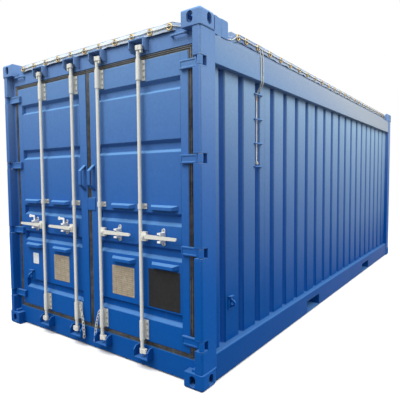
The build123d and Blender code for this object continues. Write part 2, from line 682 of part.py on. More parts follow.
# Doors: welded leaves of two stiles, two rails and a troughed panel
def door_frame(side, meeting):
    """Stiles and rails of one leaf. The right leaf also carries the plate over the meeting edge."""
    with BuildPart() as frame:
        for edge in ((meeting, meeting + STILE_WIDTH), (LEAF_EDGE - HINGE_STILE_WIDTH, LEAF_EDGE)):
            block((edge[0], LEAF_Y, LEAF_BOTTOM), (edge[1], LEAF_BACK, LEAF_TOP))
        for base in (LEAF_BOTTOM, LEAF_TOP - LEAF_RAIL_HEIGHT):
            block(
                (meeting + STILE_WIDTH, LEAF_Y + SHEET, base),
                (LEAF_EDGE - HINGE_STILE_WIDTH, LEAF_BACK, base + LEAF_RAIL_HEIGHT),
            )
        if side > 0:
            middle = leaf_level(OVERLAP_PLATE_SHARE)
            edge = meeting - MEETING_GASKET
            block(
                (edge, LEAF_Y - OVERLAP_PLATE_THICKNESS, middle - OVERLAP_PLATE_HEIGHT / 2),
                (edge + OVERLAP_PLATE_WIDTH, LEAF_Y, middle + OVERLAP_PLATE_HEIGHT / 2),
            )
        else:
            frame.part = mirror(frame.part, about=Plane.YZ, mode=Mode.PRIVATE)
    return frame.part


def door_panel(side, meeting):
    """Folded panel of one leaf, flush with the stiles, with a row of recessed troughs across it."""
    mitre = SHEET * tan(atan2(TROUGH_DEPTH, TROUGH_SLOPE) / 2)
    face = [(0, LEAF_BOTTOM)]
    back = [(SHEET, LEAF_BOTTOM)]
    for share in TROUGH_SHARES:
        low = leaf_level(share) - TROUGH_HEIGHT / 2
        high = low + TROUGH_HEIGHT
        face += [(0, low), (TROUGH_DEPTH, low + TROUGH_SLOPE)]
        face += [(TROUGH_DEPTH, high - TROUGH_SLOPE), (0, high)]
        back += [(SHEET, low - mitre), (TROUGH_DEPTH + SHEET, low + TROUGH_SLOPE - mitre)]
        back += [(TROUGH_DEPTH + SHEET, high - TROUGH_SLOPE + mitre), (SHEET, high + mitre)]
    face.append((0, LEAF_TOP))
    back.append((SHEET, LEAF_TOP))
    start, stop = sorted((side * (meeting + STILE_WIDTH), side * (LEAF_EDGE - HINGE_STILE_WIDTH)))
    with BuildPart() as panel:
        with BuildSketch(Plane.YZ.offset(start)):
            with BuildLine():
                Polyline(*[(LEAF_Y + depth, z) for depth, z in face + back[::-1]], close=True)
            make_face()
        extrude(amount=stop - start)
    return panel.part


def door_gasket(side, meeting):
    """Rubber seal round one leaf. The seal between the leaves belongs to the right one."""
    seal = meeting - MEETING_GASKET if side > 0 else meeting
    bottom = LEAF_BOTTOM - GASKET_HEIGHT
    top = LEAF_TOP + GASKET_HEIGHT
    with BuildPart() as gasket:
        front = LEAF_Y + GASKET_SINK
        outer, inner = sorted((side * seal, side * (LEAF_EDGE + GASKET_WIDTH)))
        block((outer, front, bottom), (inner, front + GASKET_DEPTH, top))
        left, right = sorted((side * meeting, side * LEAF_EDGE))
        block((left, front, LEAF_BOTTOM), (right, front + GASKET_DEPTH, LEAF_TOP), mode=Mode.SUBTRACT)
    return gasket.part


def hinge_blades(side):
    """Forged hinge blades, each with a knuckle round the pin and a sunk panel on its face."""
    blade_front = LEAF_Y - BLADE_THICKNESS
    with BuildPart() as blades:
        for level in HINGE_LEVELS:
            with BuildSketch(Plane.XY.offset(level - BLADE_HEIGHT / 2)):
                with BuildLine():
                    Polyline(
                        (LEAF_EDGE - BLADE_REACH, LEAF_Y),
                        (LEAF_EDGE - BLADE_REACH, blade_front),
                        (PIN_X - KNUCKLE_RADIUS, blade_front),
                        (PIN_X - KNUCKLE_RADIUS, PIN_Y),
                        (PIN_X + KNUCKLE_RADIUS, PIN_Y),
                        (PIN_X + KNUCKLE_RADIUS, PIN_Y + KNUCKLE_RADIUS / 2),
                        (PIN_X - KNUCKLE_RADIUS / 2, LEAF_Y),
                        close=True,
                    )
                make_face()
                with Locations((PIN_X, PIN_Y)):
                    Circle(KNUCKLE_RADIUS)
                    Circle(PIN_RADIUS + PIN_CLEARANCE, mode=Mode.SUBTRACT)
            extrude(amount=BLADE_HEIGHT)
            start = LEAF_EDGE - BLADE_REACH + BLADE_PANEL_MARGIN
            stop = CHEEK_X - BLADE_PANEL_MARGIN
            half = BLADE_HEIGHT / 2 - BLADE_PANEL_MARGIN
            block(
                (start, blade_front, level - half),
                (stop, blade_front + BLADE_PANEL_SINK, level + half),
                mode=Mode.SUBTRACT,
            )
        if side < 0:
            blades.part = mirror(blades.part, about=Plane.YZ, mode=Mode.PRIVATE)
    return blades.part


for side, name, meeting in ((-1, "left", MEETING_LEFT), (1, "right", MEETING_RIGHT)):
    save(door_frame(side, meeting), f"{name}_door_frame")
    save(door_panel(side, meeting), f"{name}_door_panel")
    save(door_gasket(side, meeting), f"{name}_door_gasket")
    save(hinge_blades(side), f"{name}_hinge_blades")


# Lock rods: round bars that turn in bearings on the doors, with a cam at each end and a folding lever
def rod_bearings(places):
    """Bearings of the rods on one leaf: a long sleeve near each end and a short block at mid height."""
    with BuildPart() as bearings:
        for x in places:
            for share, height in (
                (LOW_SLEEVE_SHARE, SLEEVE_HEIGHT),
                (MID_BEARING_SHARE, MID_BEARING_HEIGHT),
                (TOP_SLEEVE_SHARE, SLEEVE_HEIGHT),
            ):
                with BuildSketch(Plane.XY.offset(leaf_level(share) - height / 2)):
                    with Locations((x, (ROD_Y + LEAF_Y) / 2)):
                        Rectangle(BEARING_WEB, LEAF_Y - ROD_Y)
                    with Locations((x + BEARING_FOOT_SHIFT, LEAF_Y - BEARING_FOOT_THICKNESS / 2)):
                        Rectangle(BEARING_FOOT, BEARING_FOOT_THICKNESS)
                    with Locations((x, ROD_Y)):
                        Circle(BEARING_RADIUS)
                        Circle(ROD_RADIUS + ROD_CLEARANCE, mode=Mode.SUBTRACT)
                extrude(amount=height)
    return bearings.part


def lock_rod(x, side):
    """One rod with its two cams, a finger under the upper one, and a tapered lever on a hub."""
    with BuildPart() as rod:
        with BuildSketch(Plane.XY.offset(ROD_BOTTOM)):
            with Locations((x, ROD_Y)):
                Circle(ROD_RADIUS)
        extrude(amount=ROD_TOP - ROD_BOTTOM)
        nose = x + side * (CAM_REACH - CAM_WIDTH / 2)
        for base in (ROD_BOTTOM, ROD_TOP - CAM_HEIGHT):
            with BuildSketch(Plane.XY.offset(base)):
                with Locations((x, ROD_Y)):
                    Circle(CAM_RADIUS)
                with Locations(((x + nose) / 2, ROD_Y)):
                    Rectangle(abs(nose - x), CAM_WIDTH)
                with Locations((nose, ROD_Y)):
                    Circle(CAM_WIDTH / 2)
            extrude(amount=CAM_HEIGHT)
        with Locations((nose, ROD_Y, ROD_TOP - CAM_HEIGHT - CAM_FINGER_HEIGHT / 2)):
            Box(CAM_FINGER, CAM_FINGER, CAM_FINGER_HEIGHT)
        with Locations((x + side * HUB_LENGTH / 2, ROD_Y + ROD_RADIUS - HUB_DEPTH / 2, HANDLE_LEVEL)):
            Box(HUB_LENGTH, HUB_DEPTH, HUB_HEIGHT)
        tip = x + side * (HANDLE_LENGTH - HANDLE_TIP / 2)
        with BuildSketch(Plane.XZ.offset(HUB_DEPTH - ROD_Y - ROD_RADIUS)):
            with BuildLine():
                Polyline(
                    (x + side * HANDLE_START, HANDLE_LEVEL - HANDLE_ROOT / 2),
                    (tip, HANDLE_LEVEL - HANDLE_TIP / 2),
                    (tip, HANDLE_LEVEL + HANDLE_TIP / 2),
                    (x + side * HANDLE_START, HANDLE_LEVEL + HANDLE_ROOT / 2),
                    close=True,
                )
            make_face()
            with Locations((tip, HANDLE_LEVEL)):
                Circle(HANDLE_TIP / 2)
        extrude(amount=HANDLE_THICKNESS)
    return rod.part


def handle_catches(places, side):
    """Catches for the folded levers: a long plate and a block with a lug above and below, open to the front.

    Those of the left leaf also have a swung arm with an eye, turned up out of the way.
    """
    half = HANDLE_ROOT / 2 + CATCH_GAP
    with BuildPart() as catches:
        for x in places:
            with BuildSketch(Plane.XZ.offset(-LEAF_Y)):
                with Locations((x, HANDLE_LEVEL)):
                    SlotOverall(CATCH_PLATE_HEIGHT, CATCH_WIDTH, rotation=90)
            extrude(amount=CATCH_PLATE_THICKNESS)
            block(
                (x - CATCH_WIDTH / 2, LEAF_Y - CATCH_BASE, HANDLE_LEVEL - half),
                (x + CATCH_WIDTH / 2, LEAF_Y, HANDLE_LEVEL + half),
            )
            for base in (HANDLE_LEVEL - half - CATCH_LUG, HANDLE_LEVEL + half):
                block(
                    (x - CATCH_WIDTH / 2, LEAF_Y - CATCH_REACH, base),
                    (x + CATCH_WIDTH / 2, LEAF_Y, base + CATCH_LUG),
                )
            if side < 0:
                root = HANDLE_LEVEL + half + CATCH_LUG
                eye = (x - CATCH_ARM_LENGTH, root + CATCH_ARM_RISE)
                with BuildSketch(Plane.XZ.offset(CATCH_BASE - LEAF_Y)):
                    with BuildLine():
                        Polyline(
                            (x - CATCH_ARM_WIDTH / 2, root - CATCH_LUG),
                            (x + CATCH_ARM_WIDTH / 2, root - CATCH_LUG),
                            (x + CATCH_ARM_WIDTH / 2, root + CATCH_ARM_RISE),
                            (x, root + CATCH_ARM_RISE + CATCH_ARM_WIDTH / 2),
                            (eye[0], eye[1] + CATCH_ARM_WIDTH / 2),
                            (eye[0], eye[1] - CATCH_ARM_WIDTH / 2),
                            (x - CATCH_ARM_WIDTH / 2, eye[1] - CATCH_ARM_WIDTH / 2),
                            close=True,
                        )
                    make_face()
                    with Locations(eye):
                        Circle(CATCH_EYE_RADIUS)
                        Circle(CATCH_EYE_HOLE, mode=Mode.SUBTRACT)
                extrude(amount=CATCH_PLATE_THICKNESS)
    return catches.part


def hood_form(low, top, inset):
    """Solid form of one hood: a sloped profile carried along the panel, its ends slanted in plan."""
    depth = HOOD_REACH - inset
    slant = HOOD_END_SLANT * depth / HOOD_REACH
    with BuildPart() as form:
        with BuildSketch(Plane.YZ.offset(low)):
            with BuildLine():
                Polyline(
                    (LEAF_Y, top - inset),
                    (LEAF_Y - depth, top - inset - HOOD_SLOPE * depth / HOOD_REACH),
                    (LEAF_Y - depth, top - HOOD_HEIGHT),
                    (LEAF_Y, top - HOOD_HEIGHT),
                    close=True,
                )
            make_face()
        extrude(amount=HOOD_LENGTH)
        with BuildSketch(Plane.XY.offset(top - HOOD_HEIGHT)):
            with BuildLine():
                Polyline(
                    (low + inset, LEAF_Y),
                    (low + inset + slant, LEAF_Y - depth),
                    (low + HOOD_LENGTH - inset - slant, LEAF_Y - depth),
                    (low + HOOD_LENGTH - inset, LEAF_Y),
                    close=True,
                )
            make_face()
        extrude(amount=HOOD_HEIGHT, mode=Mode.INTERSECT)
    return form.part


def rain_hoods(side):
    """Folded sheet hoods, open underneath, in two rows on one leaf."""
    with BuildPart() as hoods:
        for share in HOOD_SHARES:
            for start_share in HOOD_START_SHARES:
                start = start_share * LEAF_EDGE
                low = min(side * start, side * (start + HOOD_LENGTH))
                add(hood_form(low, leaf_level(share), 0))
                add(hood_form(low, leaf_level(share), HOOD_SHEET), mode=Mode.SUBTRACT)
    return hoods.part


def grab_handle(x):
    """Flat bar bent to a trapezoid, standing off the stile."""
    middle = leaf_level(GRAB_SHARE)
    half = GRAB_HEIGHT / 2
    grip = LEAF_Y - GRAB_REACH
    with BuildPart() as handle:
        with BuildSketch(Plane.YZ.offset(x - GRAB_WIDTH / 2)):
            with BuildLine():
                Polyline(
                    (LEAF_Y, middle - half),
                    (grip, middle - half + GRAB_SLANT),
                    (grip, middle + half - GRAB_SLANT),
                    (LEAF_Y, middle + half),
                    (LEAF_Y, middle + half - 1.5 * GRAB_BAR),
                    (grip + GRAB_BAR, middle + half - GRAB_SLANT - GRAB_BAR / 2),
                    (grip + GRAB_BAR, middle - half + GRAB_SLANT + GRAB_BAR / 2),
                    (LEAF_Y, middle - half + 1.5 * GRAB_BAR),
                    close=True,
                )
            make_face()
        extrude(amount=GRAB_WIDTH)
    return handle.part


for name, x in zip(ROD_NAMES, ROD_X):
    outward = 1 if x > 0 else -1
    save(lock_rod(x, outward), f"{name}_lock_rod")

for side, name, meeting in ((-1, "left", MEETING_LEFT), (1, "right", MEETING_RIGHT)):
    places = [x for x in ROD_X if x * side > 0]
    reach = CATCH_FROM_ROD_RIGHT if side > 0 else CATCH_FROM_ROD_LEFT
    save(rod_bearings(places), f"{name}_rod_bearings")
    save(handle_catches([x + side * reach for x in places], side), f"{name}_handle_catches")
    save(rain_hoods(side), f"{name}_rain_hoods")
    save(grab_handle(side * (meeting + GRAB_FROM_EDGE)), f"{name}_grab_handle")

# Keepers on the sill and header: a shelf between two cheeks, open to the front for the cams
with BuildPart() as keepers:
    for x in ROD_X:
        floor_z = SHELF_LEVEL + KEEPER_PLATE
        block(
            (x - KEEPER_WIDTH / 2, FRONT + KEEPER_FRONT, SHELF_LEVEL),
            (x + KEEPER_WIDTH / 2, LEAF_Y, floor_z),
        )
        for edge in (x - KEEPER_WIDTH / 2, x + KEEPER_WIDTH / 2 - KEEPER_PLATE):
            with BuildSketch(Plane.YZ.offset(edge)):
                with BuildLine():
                    Polyline(
                        (LEAF_Y, floor_z),
                        (FRONT + KEEPER_FRONT, floor_z),
                        (FRONT + KEEPER_FRONT, floor_z + KEEPER_HEIGHT - KEEPER_CHAMFER),
                        (FRONT + KEEPER_FRONT + KEEPER_CHAMFER, floor_z + KEEPER_HEIGHT),
                        (LEAF_Y, floor_z + KEEPER_HEIGHT),
                        close=True,
                    )
                make_face()
            extrude(amount=KEEPER_PLATE)
    mirror(about=Plane.XY.offset((KEEPER_CEILING + SHELF_LEVEL) / 2))
save(keepers.part, "cam_keepers")

# Bent bars on the header, near the castings
with BuildPart() as header_pins:
    level = TOP_CASTING - 2 * HEADER_PIN_RADIUS
    end = SIDE - CASTING_WIDTH + HEADER_PIN_RADIUS
    with BuildLine() as bend:
        FilletPolyline(
            (end, LEAF_Y, level),
            (end, LEAF_Y - HEADER_PIN_REACH, level),
            (end - HEADER_PIN_LENGTH, LEAF_Y - HEADER_PIN_REACH, level),
            (end - HEADER_PIN_LENGTH, LEAF_Y, level),
            radius=1.5 * HEADER_PIN_RADIUS,
        )
    with BuildSketch(Plane(bend.line @ 0, z_dir=bend.line % 0)):
        Circle(HEADER_PIN_RADIUS)
    sweep(path=bend.line)
    mirror(about=Plane.YZ)
save(header_pins.part, "header_pins")


# Lashing eyes: a round-nosed plate with one hole, on a small base plate
def padeye(base, out, along):
    """One eye on a wall point, standing out along one direction, its plate facing along another."""
    root = PADEYE_HEIGHT / 2
    nose = PADEYE_REACH - PADEYE_HOLE * 2
    with BuildPart() as eye:
        with BuildSketch(Plane(base, x_dir=out, z_dir=along).offset(-PADEYE_PLATE / 2)):
            with BuildLine():
                Polyline((0, -root), (nose, -2 * PADEYE_HOLE), (nose, 2 * PADEYE_HOLE), (0, root), close=True)
            make_face()
            with Locations((nose, 0)):
                Circle(2 * PADEYE_HOLE)
                Circle(PADEYE_HOLE, mode=Mode.SUBTRACT)
        extrude(amount=PADEYE_PLATE)
        with BuildSketch(Plane(base, x_dir=along, z_dir=out)):
            Rectangle(PADEYE_CAP, PADEYE_HEIGHT)
        extrude(amount=PADEYE_PLATE / 2)
        with BuildSketch(Plane(base, x_dir=along, z_dir=out)):
            with Locations((0, root + PADEYE_PLATE / 4)):
                Rectangle(PADEYE_CAP, PADEYE_PLATE / 2)
        extrude(amount=nose)
    return eye.part


with BuildPart() as side_padeyes:
    flat = WALL_START + WALL_FIRST + RECESS_MOUTH + PADEYE_CAP
    add(padeye((WALL_FACE, flat, SIDE_PADEYE_LEVEL), (1, 0, 0), (0, 1, 0)))
    mirror(about=Plane.YZ)
save(side_padeyes.part, "side_padeyes")

door_eye = padeye((PADEYE_FROM_HINGE_EDGE - LEAF_EDGE, LEAF_Y, leaf_level(PADEYE_SHARE)), (0, -1, 0), (1, 0, 0))
save(door_eye, "left_door_padeye")

# Rope tail: staples across one recess hold two strands that hang from the lashing and end in a knot
ROPE_BAR_LEVELS = [
    BOTTOM_RAIL_TOP + share * (TOP_RAIL_BOTTOM - BOTTOM_RAIL_TOP) for share in ROPE_BAR_SHARES
]
RECESS_NEAR = WALL_START + WALL_FIRST + ROPE_RECESS * WALL_PITCH
RECESS_MIDDLE = RECESS_NEAR + RECESS_MOUTH / 2

with BuildPart() as staples:
    out = WALL_FACE + 2 * ROPE_BAR_RADIUS
    half = RECESS_MOUTH / 2 + 3 * ROPE_BAR_RADIUS
    for level in ROPE_BAR_LEVELS:
        with BuildLine() as bend:
            FilletPolyline(
                (WALL_FACE, RECESS_MIDDLE - half, level),
                (out, RECESS_MIDDLE - half, level),
                (out, RECESS_MIDDLE + half, level),
                (WALL_FACE, RECESS_MIDDLE + half, level),
                radius=1.2 * ROPE_BAR_RADIUS,
            )
        with BuildSketch(Plane(bend.line @ 0, z_dir=bend.line % 0)):
            Circle(ROPE_BAR_RADIUS)
        sweep(path=bend.line)
save(staples.part, "rope_staples")

with BuildPart() as rope_tail:
    hang = SIDE - 1.2 * ROPE_RADIUS
    tuck = WALL_FACE - 2.4 * ROPE_RADIUS
    knot_top = ROPE_BAR_LEVELS[-1] + ROPE_BAR_RADIUS + KNOT_HEIGHT
    for shift, lead in ((-1.2 * ROPE_RADIUS, ROPE_LEAD_NEAR), (1.2 * ROPE_RADIUS, ROPE_LEAD_FAR)):
        y = RECESS_MIDDLE + shift
        with BuildLine() as strand:
            FilletPolyline(
                (TARP_HALF + ROPE_RADIUS + SEAT_CLEARANCE, y + lead, HEIGHT - LASHING_DROP - 2 * ROPE_RADIUS),
                (hang, y + 0.9 * lead, TOP_RAIL_TOP),
                (hang, y + 0.5 * lead, TOP_RAIL_BOTTOM),
                (tuck, y, ROPE_BAR_LEVELS[0] + 2 * ROPE_BAR_RADIUS),
                (tuck, y, knot_top),
                radius=4 * ROPE_RADIUS,
            )
        with BuildSketch(Plane(strand.line @ 0, z_dir=strand.line % 0)):
            Circle(ROPE_RADIUS)
        sweep(path=strand.line)
    with BuildSketch(Plane.XY.offset(knot_top - KNOT_HEIGHT)):
        with Locations((tuck, RECESS_MIDDLE)):
            Circle(KNOT_RADIUS)
    extrude(amount=KNOT_HEIGHT)
    fillet(rope_tail.edges().filter_by(GeomType.CIRCLE).filter_by(lambda e: e.radius == KNOT_RADIUS), KNOT_ROUND)
save(rope_tail.part, "rope_tail")
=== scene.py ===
"""Looks of an open-top freight container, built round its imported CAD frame."""
import math

import bmesh
import bpy
import numpy as np
from mathutils import Matrix


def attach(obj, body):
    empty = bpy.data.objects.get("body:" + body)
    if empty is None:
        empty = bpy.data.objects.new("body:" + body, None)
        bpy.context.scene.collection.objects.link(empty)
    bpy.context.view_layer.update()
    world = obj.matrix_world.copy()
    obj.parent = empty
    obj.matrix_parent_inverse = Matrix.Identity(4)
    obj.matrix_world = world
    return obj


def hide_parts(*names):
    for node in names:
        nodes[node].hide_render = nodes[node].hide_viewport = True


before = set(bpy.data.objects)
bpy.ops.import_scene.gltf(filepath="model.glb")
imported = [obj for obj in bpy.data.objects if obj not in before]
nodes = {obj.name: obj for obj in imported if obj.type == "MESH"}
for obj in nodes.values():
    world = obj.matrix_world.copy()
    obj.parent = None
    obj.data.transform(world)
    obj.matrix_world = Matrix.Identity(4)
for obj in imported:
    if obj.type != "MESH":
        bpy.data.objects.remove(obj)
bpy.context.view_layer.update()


# Studio: a wide pale floor under a plain white sky.
# The sky gives most of the light, two large soft lamps give it a direction, and the floor keeps the shadow.
def node_maker(tree):
    """A function that adds one node to a tree, sets its properties, then links or sets each input by name or number."""
    def add(kind, settings=None, **sockets):
        new = tree.nodes.new(kind)
        for key, value in (settings or {}).items():
            setattr(new, key, value)
        for key, value in sockets.items():
            numbered = key[0] == "i" and key[1:].isdigit()
            plug = new.inputs[int(key[1:]) if numbered else key.replace("_", " ")]
            if isinstance(value, bpy.types.NodeSocket):
                tree.links.new(value, plug)
            else:
                plug.default_value = value
        return new

    return add


def plain_finish(name):
    """A new material: returns it, its main shader and the function that adds nodes to its tree."""
    made = bpy.data.materials.new(name)
    made.use_nodes = True
    return made, made.node_tree.nodes["Principled BSDF"], node_maker(made.node_tree)


def wire(material, source, target):
    """Link an output to an input inside one material."""
    material.node_tree.links.new(source, target)


def mixed(add, share, first, second):
    """Colour that goes from the first to the second by a share."""
    return add("ShaderNodeMix", {"data_type": "RGBA"}, i0=share, i6=first, i7=second)


def reckon(add, operation, *values):
    """One step of arithmetic on one, two or three values."""
    return add("ShaderNodeMath", {"operation": operation}, **{"i" + str(k): value for k, value in enumerate(values)})


def seen_share(add):
    """1 where the camera, a reflection or a see-through surface shows the backdrop, and 0 for the light it gives."""
    ray = add("ShaderNodeLightPath")
    seen = reckon(add, "MAXIMUM", ray.outputs["Is Camera Ray"], ray.outputs["Is Glossy Ray"])
    return reckon(add, "MAXIMUM", seen.outputs[0], ray.outputs["Is Transmission Ray"])


floor_finish, floor_shader, add = plain_finish("studio_floor")
floor_seen = seen_share(add)
floor_tone = mixed(add, floor_seen.outputs[0], (0.11, 0.11, 0.11, 1), (0.95, 0.95, 0.95, 1))
wire(floor_finish, floor_tone.outputs[2], floor_shader.inputs["Base Color"])
floor_shader.inputs["Roughness"].default_value = 0.9
floor_shader.inputs["Specular IOR Level"].default_value = 0.0
floor_place = add("ShaderNodeTexCoord")
floor_away = add("ShaderNodeVectorMath", {"operation": "LENGTH"}, i0=floor_place.outputs["Object"])
floor_far = add("ShaderNodeMapRange", {"interpolation_type": "SMOOTHSTEP"}, Value=floor_away.outputs["Value"],
                From_Min=3.5, From_Max=9.0)
floor_white = reckon(add, "MULTIPLY", floor_far.outputs[0], floor_seen.outputs[0])
floor_glow = add("ShaderNodeEmission", Color=(1, 1, 1, 1), Strength=1.0)
floor_mix = add("ShaderNodeMixShader", i0=floor_white.outputs[0], i1=floor_shader.outputs[0],
                i2=floor_glow.outputs[0])
wire(floor_finish, floor_mix.outputs[0], floor_finish.node_tree.nodes["Material Output"].inputs["Surface"])
floor_mesh = bpy.data.meshes.new("studio_floor")
floor_reach = 60.0
floor_mesh.from_pydata(
    [(-floor_reach, -floor_reach, 0), (floor_reach, -floor_reach, 0), (floor_reach, floor_reach, 0),
     (-floor_reach, floor_reach, 0)],
    [], [(0, 1, 2, 3)],
)
floor_mesh.materials.append(floor_finish)
studio_floor = bpy.data.objects.new("studio_floor", floor_mesh)
bpy.context.scene.collection.objects.link(studio_floor)

sky = bpy.data.worlds.new("studio_sky")
bpy.context.scene.world = sky
sky.use_nodes = True
sky_light = sky.node_tree.nodes["Background"]
sky_light.inputs["Color"].default_value = (1.0, 1.0, 1.0, 1)
add = node_maker(sky.node_tree)
sky_level = add("ShaderNodeMapRange", Value=seen_share(add).outputs[0], To_Min=0.92, To_Max=1.0)
sky.node_tree.links.new(sky_level.outputs[0], sky_light.inputs["Strength"])

for lamp_name, lamp_place, lamp_aim, lamp_size, lamp_power in (
    ("side_lamp", (7.5, -0.5, 8.5), (0.8, 0.0, 1.2), 7.0, 990.0),
    ("front_lamp", (-1.0, -8.5, 9.0), (-0.2, -3.0, 1.2), 7.0, 1020.0),
):
    lamp = bpy.data.lights.new(lamp_name, "AREA")
    lamp.size = lamp_size
    lamp.energy = lamp_power
    lamp_object = bpy.data.objects.new(lamp_name, lamp)
    aim = np.array(lamp_aim) - np.array(lamp_place)
    lamp_object.rotation_euler = (
        math.atan2(math.hypot(aim[0], aim[1]), -aim[2]), 0.0, math.atan2(-aim[0], aim[1]),
    )
    lamp_object.location = lamp_place
    bpy.context.scene.collection.objects.link(lamp_object)

bpy.context.scene.view_settings.view_transform = "Standard"

# Camera: stands in front of the near corner at about head height and looks across both faces.
# The near corner falls a little right of the middle, as in the photo.
camera_place = np.array([2.7754, -5.1995, 1.4817])
camera_yaw, camera_pitch, camera_roll = 0.626, -0.0582, -0.0068
ahead = np.array([
    -math.sin(camera_yaw) * math.cos(camera_pitch),
    math.cos(camera_yaw) * math.cos(camera_pitch),
    math.sin(camera_pitch),
])
level_right = np.array([math.cos(camera_yaw), math.sin(camera_yaw), 0.0])
level_up = np.cross(level_right, ahead)
right = math.cos(camera_roll) * level_right + math.sin(camera_roll) * level_up
upward = math.cos(camera_roll) * level_up - math.sin(camera_roll) * level_right
lens = bpy.data.cameras.new("camera")
lens.sensor_width = 36.0
lens.lens = 36.37
lens.clip_end = 200.0
camera = bpy.data.objects.new("camera", lens)
camera.matrix_world = Matrix((
    (right[0], upward[0], -ahead[0], camera_place[0]),
    (right[1], upward[1], -ahead[1], camera_place[1]),
    (right[2], upward[2], -ahead[2], camera_place[2]),
    (0, 0, 0, 1),
))
bpy.context.scene.collection.objects.link(camera)
bpy.context.scene.camera = camera


# Steel frame: castings, posts, rails, sill and header, welded and sprayed with blue marine paint.
# The coat is painted paler towards the top and on its sides, as painted sky reflection, and has a painted highlight
# on upward faces; it carries a little dust near the ground and has softened edges.
def noise(add, place, scale, detail, roughness):
    """Cloudy pattern fixed to the piece."""
    return add("ShaderNodeTexNoise", Vector=place.outputs["Object"], Scale=scale, Detail=detail, Roughness=roughness)


